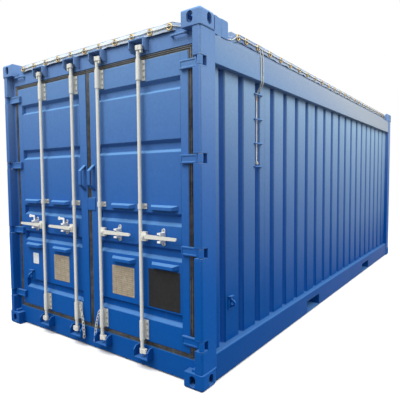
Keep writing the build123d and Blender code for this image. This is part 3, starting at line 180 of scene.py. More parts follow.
def marine_paint(name, low_colour, reflected_colour, reflection_rise, roughness, edge, top_highlight=0.30, side_reflection=0.0, far_reflection=0.0,
                 recess_shade_span=None):
    """Blue paint: a paint tone and a paler painted sky reflection mixed by height, cloudy mottling, dust low down,
    runs, rounded edges and a painted highlight on upward faces.

    The painted reflection gains on faces that look sideways and towards the closed end, by the shares given. Where the
    distance from the middle plane is small, as in the recesses of a wall, a deeper blue is painted there as shade and
    the painted reflection is weaker.
    """
    made, shader, add = plain_finish(name)
    place = add("ShaderNodeTexCoord")
    apart = add("ShaderNodeSeparateXYZ", Vector=place.outputs["Object"])
    # Painted sky reflection: the pale tone rises with height, standing in for bright sky mirrored in the upper coat.
    height = add("ShaderNodeMapRange", Value=apart.outputs["Z"], From_Min=reflection_rise[0], From_Max=reflection_rise[1])
    painted_reflection = reckon(add, "POWER", height.outputs[0], reflection_rise[2])
    round_off = add("ShaderNodeBevel", {"samples": 4}, Radius=edge)
    facing = add("ShaderNodeSeparateXYZ", Vector=round_off.outputs[0])
    # Painted reflection also grows on faces that look sideways, and towards the closed end higher up.
    aside = reckon(add, "ABSOLUTE", facing.outputs["X"])
    side_reflection_gain = reckon(add, "MULTIPLY_ADD", aside.outputs[0], side_reflection, 1.0)
    painted_reflection = reckon(add, "MULTIPLY", painted_reflection.outputs[0], side_reflection_gain.outputs[0])
    far_reflection_gain = add("ShaderNodeMapRange", Value=apart.outputs["Y"], From_Min=-3.0, From_Max=1.2, To_Max=far_reflection)
    raised = add("ShaderNodeMapRange", Value=apart.outputs["Z"], From_Min=0.2, From_Max=0.9)
    painted_reflection = reckon(add, "MULTIPLY_ADD", far_reflection_gain.outputs[0], raised.outputs[0], painted_reflection.outputs[0])
    # Painted shade in the recesses: less painted reflection there, and a deeper blue low tone.
    if recess_shade_span:
        off_middle = reckon(add, "ABSOLUTE", apart.outputs["X"])
        unshaded_share = add("ShaderNodeMapRange", {"interpolation_type": "SMOOTHSTEP"}, Value=off_middle.outputs[0],
                       From_Min=recess_shade_span[0], From_Max=recess_shade_span[1], To_Min=0.30)
        painted_reflection = reckon(add, "MULTIPLY", painted_reflection.outputs[0], unshaded_share.outputs[0])
    cloud = noise(add, place, 1.7, 6.0, 0.6)
    drift = reckon(add, "MULTIPLY_ADD", cloud.outputs["Fac"], 0.10, -0.070)
    tone = add("ShaderNodeMath", {"operation": "ADD", "use_clamp": True}, i0=painted_reflection.outputs[0], i1=drift.outputs[0])
    body = mixed(add, tone.outputs[0], low_colour, reflected_colour)
    if recess_shade_span:
        painted_recess_shade = mixed(add, unshaded_share.outputs[0], (0.014, 0.098, 0.390, 1), low_colour)
        wire(made, painted_recess_shade.outputs[2], body.inputs[6])
    speck = noise(add, place, 42.0, 4.0, 0.7)
    grain = add("ShaderNodeMapRange", Value=speck.outputs["Fac"], From_Min=0.35, From_Max=0.75, To_Min=0.94,
                To_Max=1.06)
    shade = add("ShaderNodeVectorMath", {"operation": "SCALE"}, i0=body.outputs[2], Scale=grain.outputs[0])
    low = add("ShaderNodeMapRange", Value=apart.outputs["Z"], From_Min=0.0, From_Max=0.40, To_Min=0.03, To_Max=0.0)
    splash = noise(add, place, 9.0, 8.0, 0.65)
    dust = reckon(add, "MULTIPLY", low.outputs[0], splash.outputs["Fac"])
    coat = mixed(add, dust.outputs[0], shade.outputs[0], (0.16, 0.17, 0.18, 1))
    streak_map = add("ShaderNodeMapping", Vector=place.outputs["Object"])
    streak_map.inputs["Scale"].default_value = (22.0, 22.0, 1.1)
    streak = add("ShaderNodeTexNoise", Vector=streak_map.outputs[0], Scale=1.0, Detail=5.0, Roughness=0.6)
    washed = add("ShaderNodeMapRange", Value=streak.outputs["Fac"], From_Min=0.60, From_Max=0.80, To_Max=0.05)
    run = mixed(add, washed.outputs[0], coat.outputs[2], (0.20, 0.27, 0.40, 1))
    # Painted highlight: upward faces, such as trough lips and ledges, are painted paler, more so higher up.
    highlight_share = add("ShaderNodeMapRange", {"interpolation_type": "SMOOTHSTEP"}, Value=facing.outputs["Z"], From_Min=0.12,
                From_Max=0.75, To_Max=top_highlight)
    higher = reckon(add, "MULTIPLY_ADD", height.outputs[0], 0.45, 0.55)
    highlight_share = reckon(add, "MULTIPLY", highlight_share.outputs[0], higher.outputs[0])
    painted_highlight = mixed(add, highlight_share.outputs[0], run.outputs[2], (0.160, 0.350, 0.610, 1))
    wire(made, painted_highlight.outputs[2], shader.inputs["Base Color"])
    shader.inputs["Specular IOR Level"].default_value = 0.02
    shader.inputs["Specular Tint"].default_value = (0.35, 0.60, 1.0, 1)
    gloss = add("ShaderNodeMapRange", Value=cloud.outputs["Fac"], To_Min=roughness - 0.08, To_Max=roughness + 0.10)
    wire(made, gloss.outputs[0], shader.inputs["Roughness"])
    peel = add("ShaderNodeBump", Strength=0.06, Distance=0.002, Height=speck.outputs["Fac"],
               Normal=round_off.outputs[0])
    wire(made, peel.outputs[0], shader.inputs["Normal"])
    return made


def coat_with(material, *names):
    """Give CAD nodes one material in every slot."""
    for name in names:
        slots = nodes[name].data.materials
        slots.clear()
        slots.append(material)


frame_blue = marine_paint("frame_blue", (0.004, 0.079, 0.325, 1), (0.142, 0.248, 0.460, 1), (0.2, 2.6, 2.2), 0.36,
                          0.006, top_highlight=0.50, side_reflection=0.7)
coat_with(
    frame_blue, "bottom_corner_castings", "top_corner_castings", "door_posts", "hinge_clevises", "rear_posts",
    "door_sill", "door_header", "rear_sill", "rear_header", "corner_gussets", "cam_keepers", "header_pins",
    "side_padeyes", "rope_staples",
)
# The rail's paler, greyer far end is painted reflection.
rail_blue = marine_paint("rail_blue", (0.118, 0.240, 0.455, 1), (0.325, 0.375, 0.440, 1), (2.2, 2.9, 1.0), 0.38,
                         0.006, far_reflection=0.85)
coat_with(rail_blue, "top_side_rails")


# Weld beads: rippled fillets where posts meet castings and where the wall sheets meet the bottom rails.
# Each is a half-round run of steel, painted over with the frame.
def skin(name, points, material, body, around=False, along=False, smooth=True):
    """Mesh of grids: points[copy, i, j] is joined by quads to the next i and the next j, closed where asked.

    Grid points that fall together, as at a pole, are merged, and the faces are turned outwards.
    """
    points = np.asarray(points, float)
    points = points.reshape((-1,) + points.shape[-3:])
    number = np.arange(points[..., 0].size).reshape(points.shape[:3])
    if along:
        number = np.concatenate([number, number[:, :1]], axis=1)
    if around:
        number = np.concatenate([number, number[:, :, :1]], axis=2)
    quads = np.stack(
        [number[:, :-1, :-1], number[:, :-1, 1:], number[:, 1:, 1:], number[:, 1:, :-1]], axis=-1
    ).reshape(-1, 4)
    mesh = bpy.data.meshes.new(name)
    mesh.from_pydata(points.reshape(-1, 3).tolist(), [], quads.tolist())
    work = bmesh.new()
    work.from_mesh(mesh)
    bmesh.ops.remove_doubles(work, verts=work.verts, dist=1e-6)
    bmesh.ops.recalc_face_normals(work, faces=work.faces)
    work.to_mesh(mesh)
    work.free()
    if smooth:
        mesh.shade_smooth()
    mesh.materials.append(material)
    piece = bpy.data.objects.new(name, mesh)
    bpy.context.scene.collection.objects.link(piece)
    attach(piece, body)
    return piece


def spread(corners, step):
    """Points at equal steps along a run of straight legs, worked out by length along it."""
    corners = np.asarray(corners, float)
    legs = np.linalg.norm(np.diff(corners, axis=0), axis=1)
    reach = np.concatenate([[0], np.cumsum(legs)])
    marks = np.linspace(0, reach[-1], max(3, int(round(reach[-1] / step)) + 1))
    return np.stack([np.interp(marks, reach, corners[:, k]) for k in range(3)], axis=1), marks


def bead(corners, out, up, width, pitch=0.007):
    """Weld bead: a half-round profile along a run, its radius swelling once per ripple and closed at the ends."""
    line, marks = spread(corners, pitch / 2)
    turn = np.linspace(-0.25 * math.pi, 0.75 * math.pi, 6)
    swell = width * (0.85 + 0.15 * np.cos(2 * math.pi * marks / pitch))
    swell[[0, -1]] = 0.0
    lift = np.cos(turn)[None, :, None] * np.asarray(out, float) + np.sin(turn)[None, :, None] * np.asarray(up, float)
    return line[:, None, :] + swell[:, None, None] * lift


post_face, post_back, post_front, foot_casting, head_casting = 1.2130, 2.855, 3.020, 0.118, 2.473
post_beads = [
    bead([(side * post_face, end * post_back, level), (side * post_face, end * post_front, level)], (side, 0, 0),
         (0, 0, lift), 0.006)
    for side in (-1, 1) for end in (-1, 1) for level, lift in ((foot_casting, 1), (head_casting, -1))
]
skin("casting_beads", post_beads, frame_blue, "container")

# Corrugated walls: pressed steel sheet welded between the rails and posts, in the same paint, with a stronger
# painted sky reflection that also grows towards the far end, and painted shade in the recesses.
# Flat lands and shallow recesses repeat along each side, and the sheets are butt welded on some of the lands.
wall_face, recess_floor = 1.162, 1.126
wall_low, wall_reflected, wall_reflection_rise = (0.001, 0.058, 0.250, 1), (0.256, 0.385, 0.535, 1), (0.3, 2.5, 1.75)
wall_blue = marine_paint("wall_blue", wall_low, wall_reflected, wall_reflection_rise, 0.40, 0.013, top_highlight=0.55, far_reflection=0.26,
                         recess_shade_span=(recess_floor + 0.020, wall_face - 0.001))
coat_with(wall_blue, "right_side_wall", "left_side_wall")
end_blue = marine_paint("end_blue", wall_low, wall_reflected, wall_reflection_rise, 0.40, 0.013, top_highlight=0.55, far_reflection=0.26)
coat_with(end_blue, "end_wall", "bottom_side_rails", "fork_pockets")
recess_count, recess_pitch, wall_foot, wall_head = 20, 0.278, 0.222, 2.256
recess_starts = -2.735 + recess_pitch * np.arange(recess_count)
wave_y = (recess_starts[:, None] + np.array([0.0, 0.020, 0.070, 0.090])).ravel()
wave_x = np.tile([wall_face, recess_floor, recess_floor, wall_face], recess_count)
for side, word in ((1, "right"), (-1, "left")):
    foot_line = np.stack([side * (wave_x + 0.001), wave_y, np.full_like(wave_y, wall_foot - 0.0065)], axis=1)
    foot_bead = bead(foot_line, (side, 0, 0), (0, 0, 1), 0.005, pitch=0.012)
    skin(word + "_wall_bead", foot_bead, wall_blue, "container")
    seam_x = side * (wall_face - 0.0005)
    seams = [
        bead([(seam_x, y, wall_foot), (seam_x, y, wall_head)], (side, 0, 0), (0, side, 0), 0.0022, pitch=0.030)
        for y in (recess_starts[[2, 6, 10, 14]] + 0.178)
    ]
    skin(word + "_sheet_seams", seams, wall_blue, "container")

# Underframe: pressed steel cross members welded between the bottom rails.
# They carry the floor and are sprayed with a dark wax coat.
wax_coat = marine_paint("wax_coat", (0.012, 0.026, 0.060, 1), (0.020, 0.050, 0.120, 1), (0.0, 0.4, 1.0), 0.62, 0.004)
coat_with(wax_coat, "cross_members")

# Floor: laminated hardwood boards laid lengthways on the cross members, with dark joints.
# The wood is oiled, and its fibres show in tone and relief.
board_wood, wood_shader, add = plain_finish("floor_board_wood")
wood_place = add("ShaderNodeTexCoord")
wood_map = add("ShaderNodeMapping", Vector=wood_place.outputs["Object"])
wood_map.inputs["Rotation"].default_value = (0.0, 0.0, math.pi / 2)
boards = add("ShaderNodeTexBrick", {"offset": 0.5, "squash": 1.0}, Vector=wood_map.outputs[0], Scale=1.0,
             Color1=(0.230, 0.120, 0.055, 1), Color2=(0.330, 0.190, 0.095, 1), Mortar=(0.030, 0.018, 0.010, 1))
boards.inputs["Brick Width"].default_value = 2.4
boards.inputs["Row Height"].default_value = 0.146
boards.inputs["Mortar Size"].default_value = 0.003
fibre_map = add("ShaderNodeMapping", Vector=wood_place.outputs["Object"])
fibre_map.inputs["Scale"].default_value = (60.0, 2.2, 60.0)
fibre = add("ShaderNodeTexNoise", Vector=fibre_map.outputs[0], Scale=1.0, Detail=6.0, Roughness=0.65)
fibre_tone = add("ShaderNodeMapRange", Value=fibre.outputs["Fac"], To_Min=0.65, To_Max=1.30)
wood_tone = add("ShaderNodeVectorMath", {"operation": "SCALE"}, i0=boards.outputs["Color"], Scale=fibre_tone.outputs[0])
wire(board_wood, wood_tone.outputs[0], wood_shader.inputs["Base Color"])
wood_bump = add("ShaderNodeBump", Strength=0.35, Distance=0.002, Height=fibre.outputs["Fac"])
wire(board_wood, wood_bump.outputs[0], wood_shader.inputs["Normal"])
wood_shader.inputs["Roughness"].default_value = 0.58
coat_with(board_wood, "floor")


# Roof bows: steel bars set across the open top, which carry the cover.
# They are hot-dip galvanised and have gone dull.
def zinc_coat(name, pale, dark, roughness, metal, rust):
    """Hot-dip zinc: pale crystalline patches over a darker grey, grime in the dips and a few rust freckles."""
    made, shader, add = plain_finish(name)
    place = add("ShaderNodeTexCoord")
    flower = add("ShaderNodeTexVoronoi", {"feature": "SMOOTH_F1"}, Vector=place.outputs["Object"], Scale=70.0)
    cloud = noise(add, place, 6.0, 8.0, 0.65)
    patch = reckon(add, "MULTIPLY_ADD", flower.outputs["Distance"], 0.45, cloud.outputs["Fac"])
    share = add("ShaderNodeMapRange", Value=patch.outputs[0], From_Min=0.40, From_Max=0.95)
    body = mixed(add, share.outputs[0], pale, dark)
    freckle = noise(add, place, 26.0, 9.0, 0.72)
    rusty = add("ShaderNodeMapRange", Value=freckle.outputs["Fac"], From_Min=0.62, From_Max=0.74, To_Max=rust)
    coat = mixed(add, rusty.outputs[0], body.outputs[2], (0.170, 0.070, 0.028, 1))
    wire(made, coat.outputs[2], shader.inputs["Base Color"])
    gloss = add("ShaderNodeMapRange", Value=cloud.outputs["Fac"], To_Min=roughness - 0.10, To_Max=roughness + 0.14)
    wire(made, gloss.outputs[0], shader.inputs["Roughness"])
    shader.inputs["Metallic"].default_value = metal
    round_off = add("ShaderNodeBevel", {"samples": 4}, Radius=0.0025)
    pits = add("ShaderNodeBump", Strength=0.10, Distance=0.001, Height=freckle.outputs["Fac"],
               Normal=round_off.outputs[0])
    wire(made, pits.outputs[0], shader.inputs["Normal"])
    return made


dull_zinc = zinc_coat("dull_zinc", (0.46, 0.47, 0.46, 1), (0.26, 0.27, 0.27, 1), 0.50, 0.4, 0.5)
coat_with(dull_zinc, "roof_bows")

# Cover: one sheet of coated tarpaulin stretched over the bows, its hem turned down outside the roof lips.
# Brass eyelets along the hem sit over the lashing loops, and the cloth is drawn in at each and slack between.
cover_cloth, cloth_shader, add = plain_finish("cover_cloth")
cloth_place = add("ShaderNodeTexCoord")
warp = add("ShaderNodeTexWave", {"bands_direction": "X"}, Vector=cloth_place.outputs["Object"], Scale=90.0,
           Distortion=0.3)
weft = add("ShaderNodeTexWave", {"bands_direction": "Y"}, Vector=cloth_place.outputs["Object"], Scale=90.0,
           Distortion=0.3)
weave = reckon(add, "MULTIPLY", warp.outputs["Fac"], weft.outputs["Fac"])
stain = noise(add, cloth_place, 3.2, 8.0, 0.65)
stain_share = add("ShaderNodeMapRange", Value=stain.outputs["Fac"], From_Min=0.35, From_Max=0.70)
# Pale tones are painted sky reflection on the blue cloth, mottled by stains; near the side corners its own deep blue
# shows.
cloth_stain_and_sheen = mixed(add, stain_share.outputs[0], (0.640, 0.720, 0.800, 1), (0.460, 0.570, 0.700, 1))
cloth_across = add("ShaderNodeSeparateXYZ", Vector=cloth_place.outputs["Object"])
cloth_off = reckon(add, "ABSOLUTE", cloth_across.outputs["X"])
cloth_side = add("ShaderNodeMapRange", {"interpolation_type": "SMOOTHSTEP"}, Value=cloth_off.outputs[0], From_Min=0.75,
                 From_Max=1.10)
cloth_along = reckon(add, "ABSOLUTE", cloth_across.outputs["Y"])
cloth_corner = add("ShaderNodeMapRange", {"interpolation_type": "SMOOTHSTEP"}, Value=cloth_along.outputs[0],
                   From_Min=1.70, From_Max=2.55, To_Min=0.50, To_Max=0.95)
cloth_share = reckon(add, "MULTIPLY", cloth_side.outputs[0], cloth_corner.outputs[0])
cloth_deep = mixed(add, cloth_share.outputs[0], cloth_stain_and_sheen.outputs[2], (0.075, 0.165, 0.350, 1))
cloth_facing = add("ShaderNodeNewGeometry")
cloth_apart = add("ShaderNodeSeparateXYZ", Vector=cloth_facing.outputs["Normal"])
# Painted shade: cloth that faces up is painted a darker blue than the pale hem.
cloth_top_shade_share = add("ShaderNodeMapRange", {"interpolation_type": "SMOOTHSTEP"}, Value=cloth_apart.outputs["Z"],
                  From_Min=0.30, From_Max=0.95, To_Max=0.90)
cloth_top_shade = mixed(add, cloth_top_shade_share.outputs[0], cloth_deep.outputs[2], (0.150, 0.240, 0.370, 1))
wire(cover_cloth, cloth_top_shade.outputs[2], cloth_shader.inputs["Base Color"])
cloth_bump = add("ShaderNodeBump", Strength=0.25, Distance=0.0006, Height=weave.outputs[0])
wire(cover_cloth, cloth_bump.outputs[0], cloth_shader.inputs["Normal"])
cloth_shader.inputs["Roughness"].default_value = 0.36
cloth_shader.inputs["Sheen Weight"].default_value = 0.12

cover_half, cover_end, cut_across, cut_along = 1.195, 2.984, 0.250, 0.380
roof_edge, camber, bow_first, bow_pitch, sag, hem_drop = 2.5500, 0.022, 2.851, 0.8146, 0.013, 0.058
cover_rows = np.concatenate([
    np.linspace(-cover_end, cut_along - cover_end, 16),
    np.linspace(cut_along - cover_end, cover_end - cut_along, 260)[1:],
    np.linspace(cover_end - cut_along, cover_end, 16)[1:],
])
row_half = cover_half - cut_across * np.clip((np.abs(cover_rows) - cover_end + cut_along) / cut_along, 0, 1)
cover_share = np.sin(np.linspace(-1, 1, 41) * math.pi / 2)
cover_x = row_half[:, None] * cover_share
cover_y = np.repeat(cover_rows[:, None], cover_share.size, axis=1)
slack = np.sin(math.pi * (cover_y + bow_first) / bow_pitch) ** 2
slack = slack * np.clip((bow_first - np.abs(cover_y)) / 0.1, 0, 1)
end_rise = np.clip((3.06 - np.abs(cover_y)) / 0.36, 0.2, 1)
cover_z = roof_edge + camber * end_rise * (1 - (cover_x / cover_half) ** 2) - sag * slack * (1 - cover_share ** 4)
cover_z = cover_z + 0.0016 * np.sin(23 * cover_x + 9 * cover_y) * np.sin(17 * cover_y - 5 * cover_x)
droop_marks = [0.0, 2.500, 2.545, 2.600, 2.800, 2.930, 3.0]
droop_falls = [0.0, 0.0, 0.012, 0.044, 0.044, 0.0, 0.0]
cover_z = cover_z - np.interp(np.abs(cover_y), droop_marks, droop_falls) * np.abs(cover_share) ** 9
cover_z = cover_z + 0.0012 * (np.abs((cover_y + 0.75) % 1.5 - 0.75) < 0.025)
cover_top = np.stack([cover_x, cover_y, cover_z], axis=2)

edge_ring = np.concatenate([cover_top[0, :-1], cover_top[:-1, -1], cover_top[-1, :0:-1], cover_top[:0:-1, 0]])
ring_next = np.roll(edge_ring, -1, axis=0) - np.roll(edge_ring, 1, axis=0)
ring_out = np.stack([ring_next[:, 1], -ring_next[:, 0]], axis=1)
ring_out = ring_out / np.linalg.norm(ring_out, axis=1, keepdims=True)
eyelet_side = np.concatenate([[-2.512, -2.386], np.linspace(-2.192, 2.192, 21), [2.386, 2.512]])
eyelet_end = np.linspace(-0.920, 0.920, 11)
on_side, on_end = np.ones_like(eyelet_side), np.ones_like(eyelet_end)
eyelets = np.concatenate([
    np.stack([cover_half * on_side, eyelet_side, 0.0 * on_side], axis=1),
    np.stack([-cover_half * on_side, eyelet_side, math.pi * on_side], axis=1),
    np.stack([eyelet_end, -cover_end * on_end, -math.pi / 2 * on_end], axis=1),
    np.stack([eyelet_end, cover_end * on_end, math.pi / 2 * on_end], axis=1),
    np.array([(side * 1.000, end * 2.900, math.atan2(end * cut_across, side * cut_along))
              for side in (-1, 1) for end in (-1, 1)]),
])
eyelet_level = 2.525 - np.interp(np.abs(eyelets[:, 1]), droop_marks, droop_falls)[:, None, None]
to_eyelet = np.min(np.linalg.norm(edge_ring[:, None, :2] - eyelets[None, :, :2], axis=2), axis=1)
loose = 1 - np.exp(-(to_eyelet / 0.055) ** 2)
ring_length = np.cumsum(np.linalg.norm(ring_next, axis=1)) / 2
ripple = np.sin(2 * math.pi * ring_length / 0.139) * 0.5 + np.sin(2 * math.pi * ring_length / 0.41 + 1.0) * 0.5
fall = np.linspace(0, 1, 9)[None, :]
push = (-0.0035 + 0.0035 * np.sin(math.pi * np.clip(fall * 1.6, 0, 1))) * (1 - loose[:, None])
push = push + loose[:, None] * fall * (0.0015 + 0.0030 * ripple[:, None]) - 0.002 * fall ** 2
drop = hem_drop * fall - 0.004 * fall * loose[:, None] * (1 + ripple[:, None])
cover_skirt = np.stack([
    edge_ring[:, None, 0] + ring_out[:, None, 0] * push,
    edge_ring[:, None, 1] + ring_out[:, None, 1] * push,
    edge_ring[:, None, 2] - drop,
], axis=2)


def sheet_mesh(name, grids, material, body, thickness):
    """Cloth sheet: several grids sewn at their shared edges into one mesh and given a thickness inwards."""
    made = [skin(name + "_" + str(k), grid, material, body, along=closed) for k, (grid, closed) in enumerate(grids)]
    work = bmesh.new()
    for piece in made:
        work.from_mesh(piece.data)
    bmesh.ops.remove_doubles(work, verts=work.verts, dist=2e-6)
    bmesh.ops.recalc_face_normals(work, faces=work.faces)
    upward_sum = sum(face.normal.z * face.calc_area() for face in work.faces)
    if upward_sum < 0:
        bmesh.ops.reverse_faces(work, faces=work.faces)
    mesh = made[0].data
    work.to_mesh(mesh)
    work.free()
    mesh.shade_smooth()
    for piece in made[1:]:
        spare = piece.data
        bpy.data.objects.remove(piece)
        bpy.data.meshes.remove(spare)
    made[0].name = name
    mesh.name = name
    gauge = made[0].modifiers.new("gauge", "SOLIDIFY")
    gauge.thickness = thickness
    gauge.offset = -1.0
    return made[0]


cover = sheet_mesh("roof_cover", [(cover_top, False), (cover_skirt, True)], cover_cloth, "container", 0.002)
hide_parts("tarpaulin")

# Eyelets and lashing loops: pressed brass rings set in the hem, and a galvanised steel loop through each.
# The loops stand out of the rail and hold the rope.
brass, brass_shader, add = plain_finish("eyelet_brass")
brass_place = add("ShaderNodeTexCoord")
brass_cloud = add("ShaderNodeTexNoise", Vector=brass_place.outputs["Object"], Scale=60.0, Detail=5.0)
brass_tone = mixed(add, brass_cloud.outputs["Fac"], (0.62, 0.46, 0.20, 1), (0.34, 0.23, 0.10, 1))
wire(brass, brass_tone.outputs[2], brass_shader.inputs["Base Color"])
brass_shader.inputs["Metallic"].default_value = 0.9
brass_rough = add("ShaderNodeMapRange", Value=brass_cloud.outputs["Fac"], To_Min=0.25, To_Max=0.5)
wire(brass, brass_rough.outputs[0], brass_shader.inputs["Roughness"])


def rings_at(places, level, ring_radius, wire_radius, stand, sides, turns):
    """Rings standing on the hem: a small circle carried round a larger one, turned to face out at each place."""
    big = np.linspace(0, 2 * math.pi, sides, endpoint=False)[:, None]
    small = np.linspace(0, 2 * math.pi, turns, endpoint=False)[None, :]
    reach = ring_radius + wire_radius * np.cos(small)
    flat = np.stack([stand + wire_radius * np.sin(small) + 0 * big, reach * np.cos(big), reach * np.sin(big)], axis=2)
    cos, sin = np.cos(places[:, 2])[:, None, None], np.sin(places[:, 2])[:, None, None]
    return np.stack([
        places[:, 0, None, None] + cos * flat[None, ..., 0] - sin * flat[None, ..., 1],
        places[:, 1, None, None] + sin * flat[None, ..., 0] + cos * flat[None, ..., 1],
        level + flat[None, ..., 2] + 0 * cos,
    ], axis=3)


eyelet_rings = skin("cover_eyelets", rings_at(eyelets, eyelet_level, 0.0205, 0.0055, 0.0005, 18, 6), brass,
                    "container", around=True, along=True)


def loops_at(places, level, half, wire_radius, reach, sides, turns):
    """Lashing loops: a round wire bent to a half circle that stands out of the rail at each place."""
    bend = np.linspace(-0.5 * math.pi, 0.5 * math.pi, sides)[:, None]
    small = np.linspace(0, 2 * math.pi, turns, endpoint=False)[None, :]
    arm = half + wire_radius * np.cos(small)
    out = reach * arm / half * np.cos(bend) - 0.010
    rise = arm * np.sin(bend)
    aside = wire_radius * np.sin(small) + 0 * bend
    cos, sin = np.cos(places[:, 2])[:, None, None], np.sin(places[:, 2])[:, None, None]
    return np.stack([
        places[:, 0, None, None] + cos * out[None] - sin * aside[None],
        places[:, 1, None, None] + sin * out[None] + cos * aside[None],
        level + rise[None] + 0 * cos,
    ], axis=3)


loop_pieces = skin("lashing_loops", loops_at(eyelets, eyelet_level + 0.003, 0.0085, 0.0022, 0.0225, 9, 5), dull_zinc,
                   "container", around=True)


# Lashing rope: one laid rope of pale fibre that runs round the cover through the loops.
# It is held at each loop and hangs a little slack between them.
def rope_finish(name, pale, dark):
    """Laid fibre rope: fine fibres along the strand, greyed by dirt in the lay."""
    made, shader, add = plain_finish(name)
    place = add("ShaderNodeTexCoord")
    fibre = noise(add, place, 320.0, 4.0, 0.7)
    dirt = noise(add, place, 12.0, 6.0, 0.6)
    part = reckon(add, "MULTIPLY", fibre.outputs["Fac"], dirt.outputs["Fac"])
    share = add("ShaderNodeMapRange", Value=part.outputs[0], From_Min=0.12, From_Max=0.42)
    tone = mixed(add, share.outputs[0], dark, pale)
    wire(made, tone.outputs[2], shader.inputs["Base Color"])
    fuzz = add("ShaderNodeBump", Strength=0.5, Distance=0.0006, Height=fibre.outputs["Fac"])
    wire(made, fuzz.outputs[0], shader.inputs["Normal"])
    shader.inputs["Roughness"].default_value = 0.85
    shader.inputs["Sheen Weight"].default_value = 0.2
    shader.inputs["Subsurface Weight"].default_value = 0.7
    shader.inputs["Subsurface Radius"].default_value = (1.0, 0.95, 0.85)
    shader.inputs["Subsurface Scale"].default_value = 0.008
    return made


def route_line(name, points, closed):
    """Points along a smooth spline whose control points are the route's points."""
    curve = bpy.data.curves.new(name, "CURVE")
    curve.dimensions = "3D"
    spline = curve.splines.new("NURBS")
    spline.points.add(len(points) - 1)
    spline.points.foreach_set("co", np.column_stack([points, np.ones(len(points))]).ravel())
    spline.use_cyclic_u = closed
    spline.use_endpoint_u = not closed
    spline.order_u = 3
    spline.resolution_u = 16
    holder = bpy.data.objects.new(name, curve)
    shape = bpy.data.meshes.new_from_object(holder)
    line = np.zeros(len(shape.vertices) * 3)
    shape.vertices.foreach_get("co", line)
    bpy.data.objects.remove(holder)
    bpy.data.curves.remove(curve)
    bpy.data.meshes.remove(shape)
    return line.reshape(-1, 3)


def laid_rope(line, radius, lay, step, closed):
    """Laid rope: a three-lobed section carried along a line and turned once per lay length."""
    if closed:
        line = np.concatenate([line, line[:1]])
    path, marks = spread(line, step)
    if closed:
        path, marks = path[:-1], marks[:-1]
        lay = (marks[-1] + marks[1]) / round((marks[-1] + marks[1]) / lay)
        ahead_step = np.roll(path, -1, axis=0) - np.roll(path, 1, axis=0)
    else:
        ahead_step = np.gradient(path, axis=0)
    ahead_step = ahead_step / np.linalg.norm(ahead_step, axis=1, keepdims=True)
    guide = np.array([0.0, 0.0, 1.0]) if closed else np.array([0.0, 1.0, 0.0])
    across = np.cross(ahead_step, guide)
    across = across / np.linalg.norm(across, axis=1, keepdims=True)
    upper = np.cross(across, ahead_step)
    turn = np.linspace(0, 2 * math.pi, 12, endpoint=False)[None, :]
    size = radius * (0.84 + 0.16 * np.cos(3 * (turn - 2 * math.pi * marks[:, None] / lay)))
    if not closed:
        size[[0, -1]] = 0.0
    return path, path[:, None] + size[..., None] * (
        np.cos(turn)[..., None] * across[:, None] + np.sin(turn)[..., None] * upper[:, None]
    )


rope_cream = rope_finish("rope_cream", (0.68, 0.68, 0.63, 1), (0.36, 0.37, 0.35, 1))
lash_x, lash_y, lash_z = 1.2003, 2.9893, 2.528
lash_quarter = np.array([
    (0.0, -lash_y), (0.70, -lash_y), (0.90, -lash_y), (lash_x - cut_across, -lash_y),
    (lash_x - 0.6 * cut_across, -lash_y + 0.4 * cut_along), (lash_x, cut_along - lash_y), (lash_x, 0.44 - lash_y),
    (lash_x, 0.70 - lash_y),
])
lash_half = np.concatenate([lash_quarter, lash_quarter[::-1][:-1] * [1, -1]])
lash_loop = np.concatenate([lash_half, -lash_half])
lash_route = np.column_stack([lash_loop, np.full(len(lash_loop), lash_z)])
lash_line, lash_skin = laid_rope(route_line("lashing_route", lash_route, True), 0.005, 0.034, 0.0065, True)
from_loop = np.min(np.linalg.norm(lash_line[:, None, :2] - eyelets[None, :, :2], axis=2), axis=1)
lash_skin[..., 2] -= 0.004 * (1 - np.exp(-(from_loop / 0.06) ** 2))[:, None]
lash_skin[..., 2] -= np.interp(np.abs(lash_line[:, 1]), droop_marks, droop_falls)[:, None]
lashing = skin("lashing_line", lash_skin, rope_cream, "container", around=True, along=True)
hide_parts("lashing_rope")

# Rope tail: the two ends of the lashing hang down one recess behind four staples and meet in a knot.
# A short orange cord binds them under the first staple.
over_rail, in_recess, tail_middle = 1.2136, 1.1512, -2.134
tail_routes = {
    word: np.array([
        (1.1998, y + lead, 2.519), (over_rail, y + 0.9 * lead, 2.490), (over_rail, y + 0.6 * lead, 2.300),
        (over_rail, y + 0.5 * lead, 2.235), (in_recess, y, 2.172), (in_recess, y, 2.118), (in_recess, y, 1.605),
    ])
    for word, y, lead in (("near", -2.1394, -0.042), ("far", -2.1286, -0.004))
}
knot_turn = np.linspace(0, 2 * math.pi, 90, endpoint=False)
knot_line = np.stack([
    in_recess + 0.0038 * (np.sin(knot_turn) + 2 * np.sin(2 * knot_turn)),
    tail_middle + 0.0038 * (np.cos(knot_turn) - 2 * np.cos(2 * knot_turn)),
    1.591 - 0.010 * np.sin(3 * knot_turn),
], axis=1)
knot = skin("tail_knot", laid_rope(knot_line, 0.0055, 0.030, 0.003, True)[1], rope_cream, "container", around=True,
            along=True)
for word, route in tail_routes.items():
    tail_line, tail_skin = laid_rope(route_line("tail_route", route, False), 0.0045, 0.032, 0.003, False)
    tail = skin("tail_" + word, tail_skin, rope_cream, "container", around=True)
    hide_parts("rope_tail")
tie_orange = rope_finish("tie_orange", (0.58, 0.27, 0.12, 1), (0.30, 0.12, 0.05, 1))
tie_turn = np.linspace(0, 8 * math.pi, 120)
tie_line = np.stack([
    in_recess + 0.0068 * np.cos(tie_turn), tail_middle + 0.0122 * np.sin(tie_turn),
    2.108 + 0.0021 * tie_turn / math.pi * 2,
], axis=1)
tie = skin("tail_tie", laid_rope(tie_line, 0.0020, 0.020, 0.003, False)[1], tie_orange, "container", around=True)

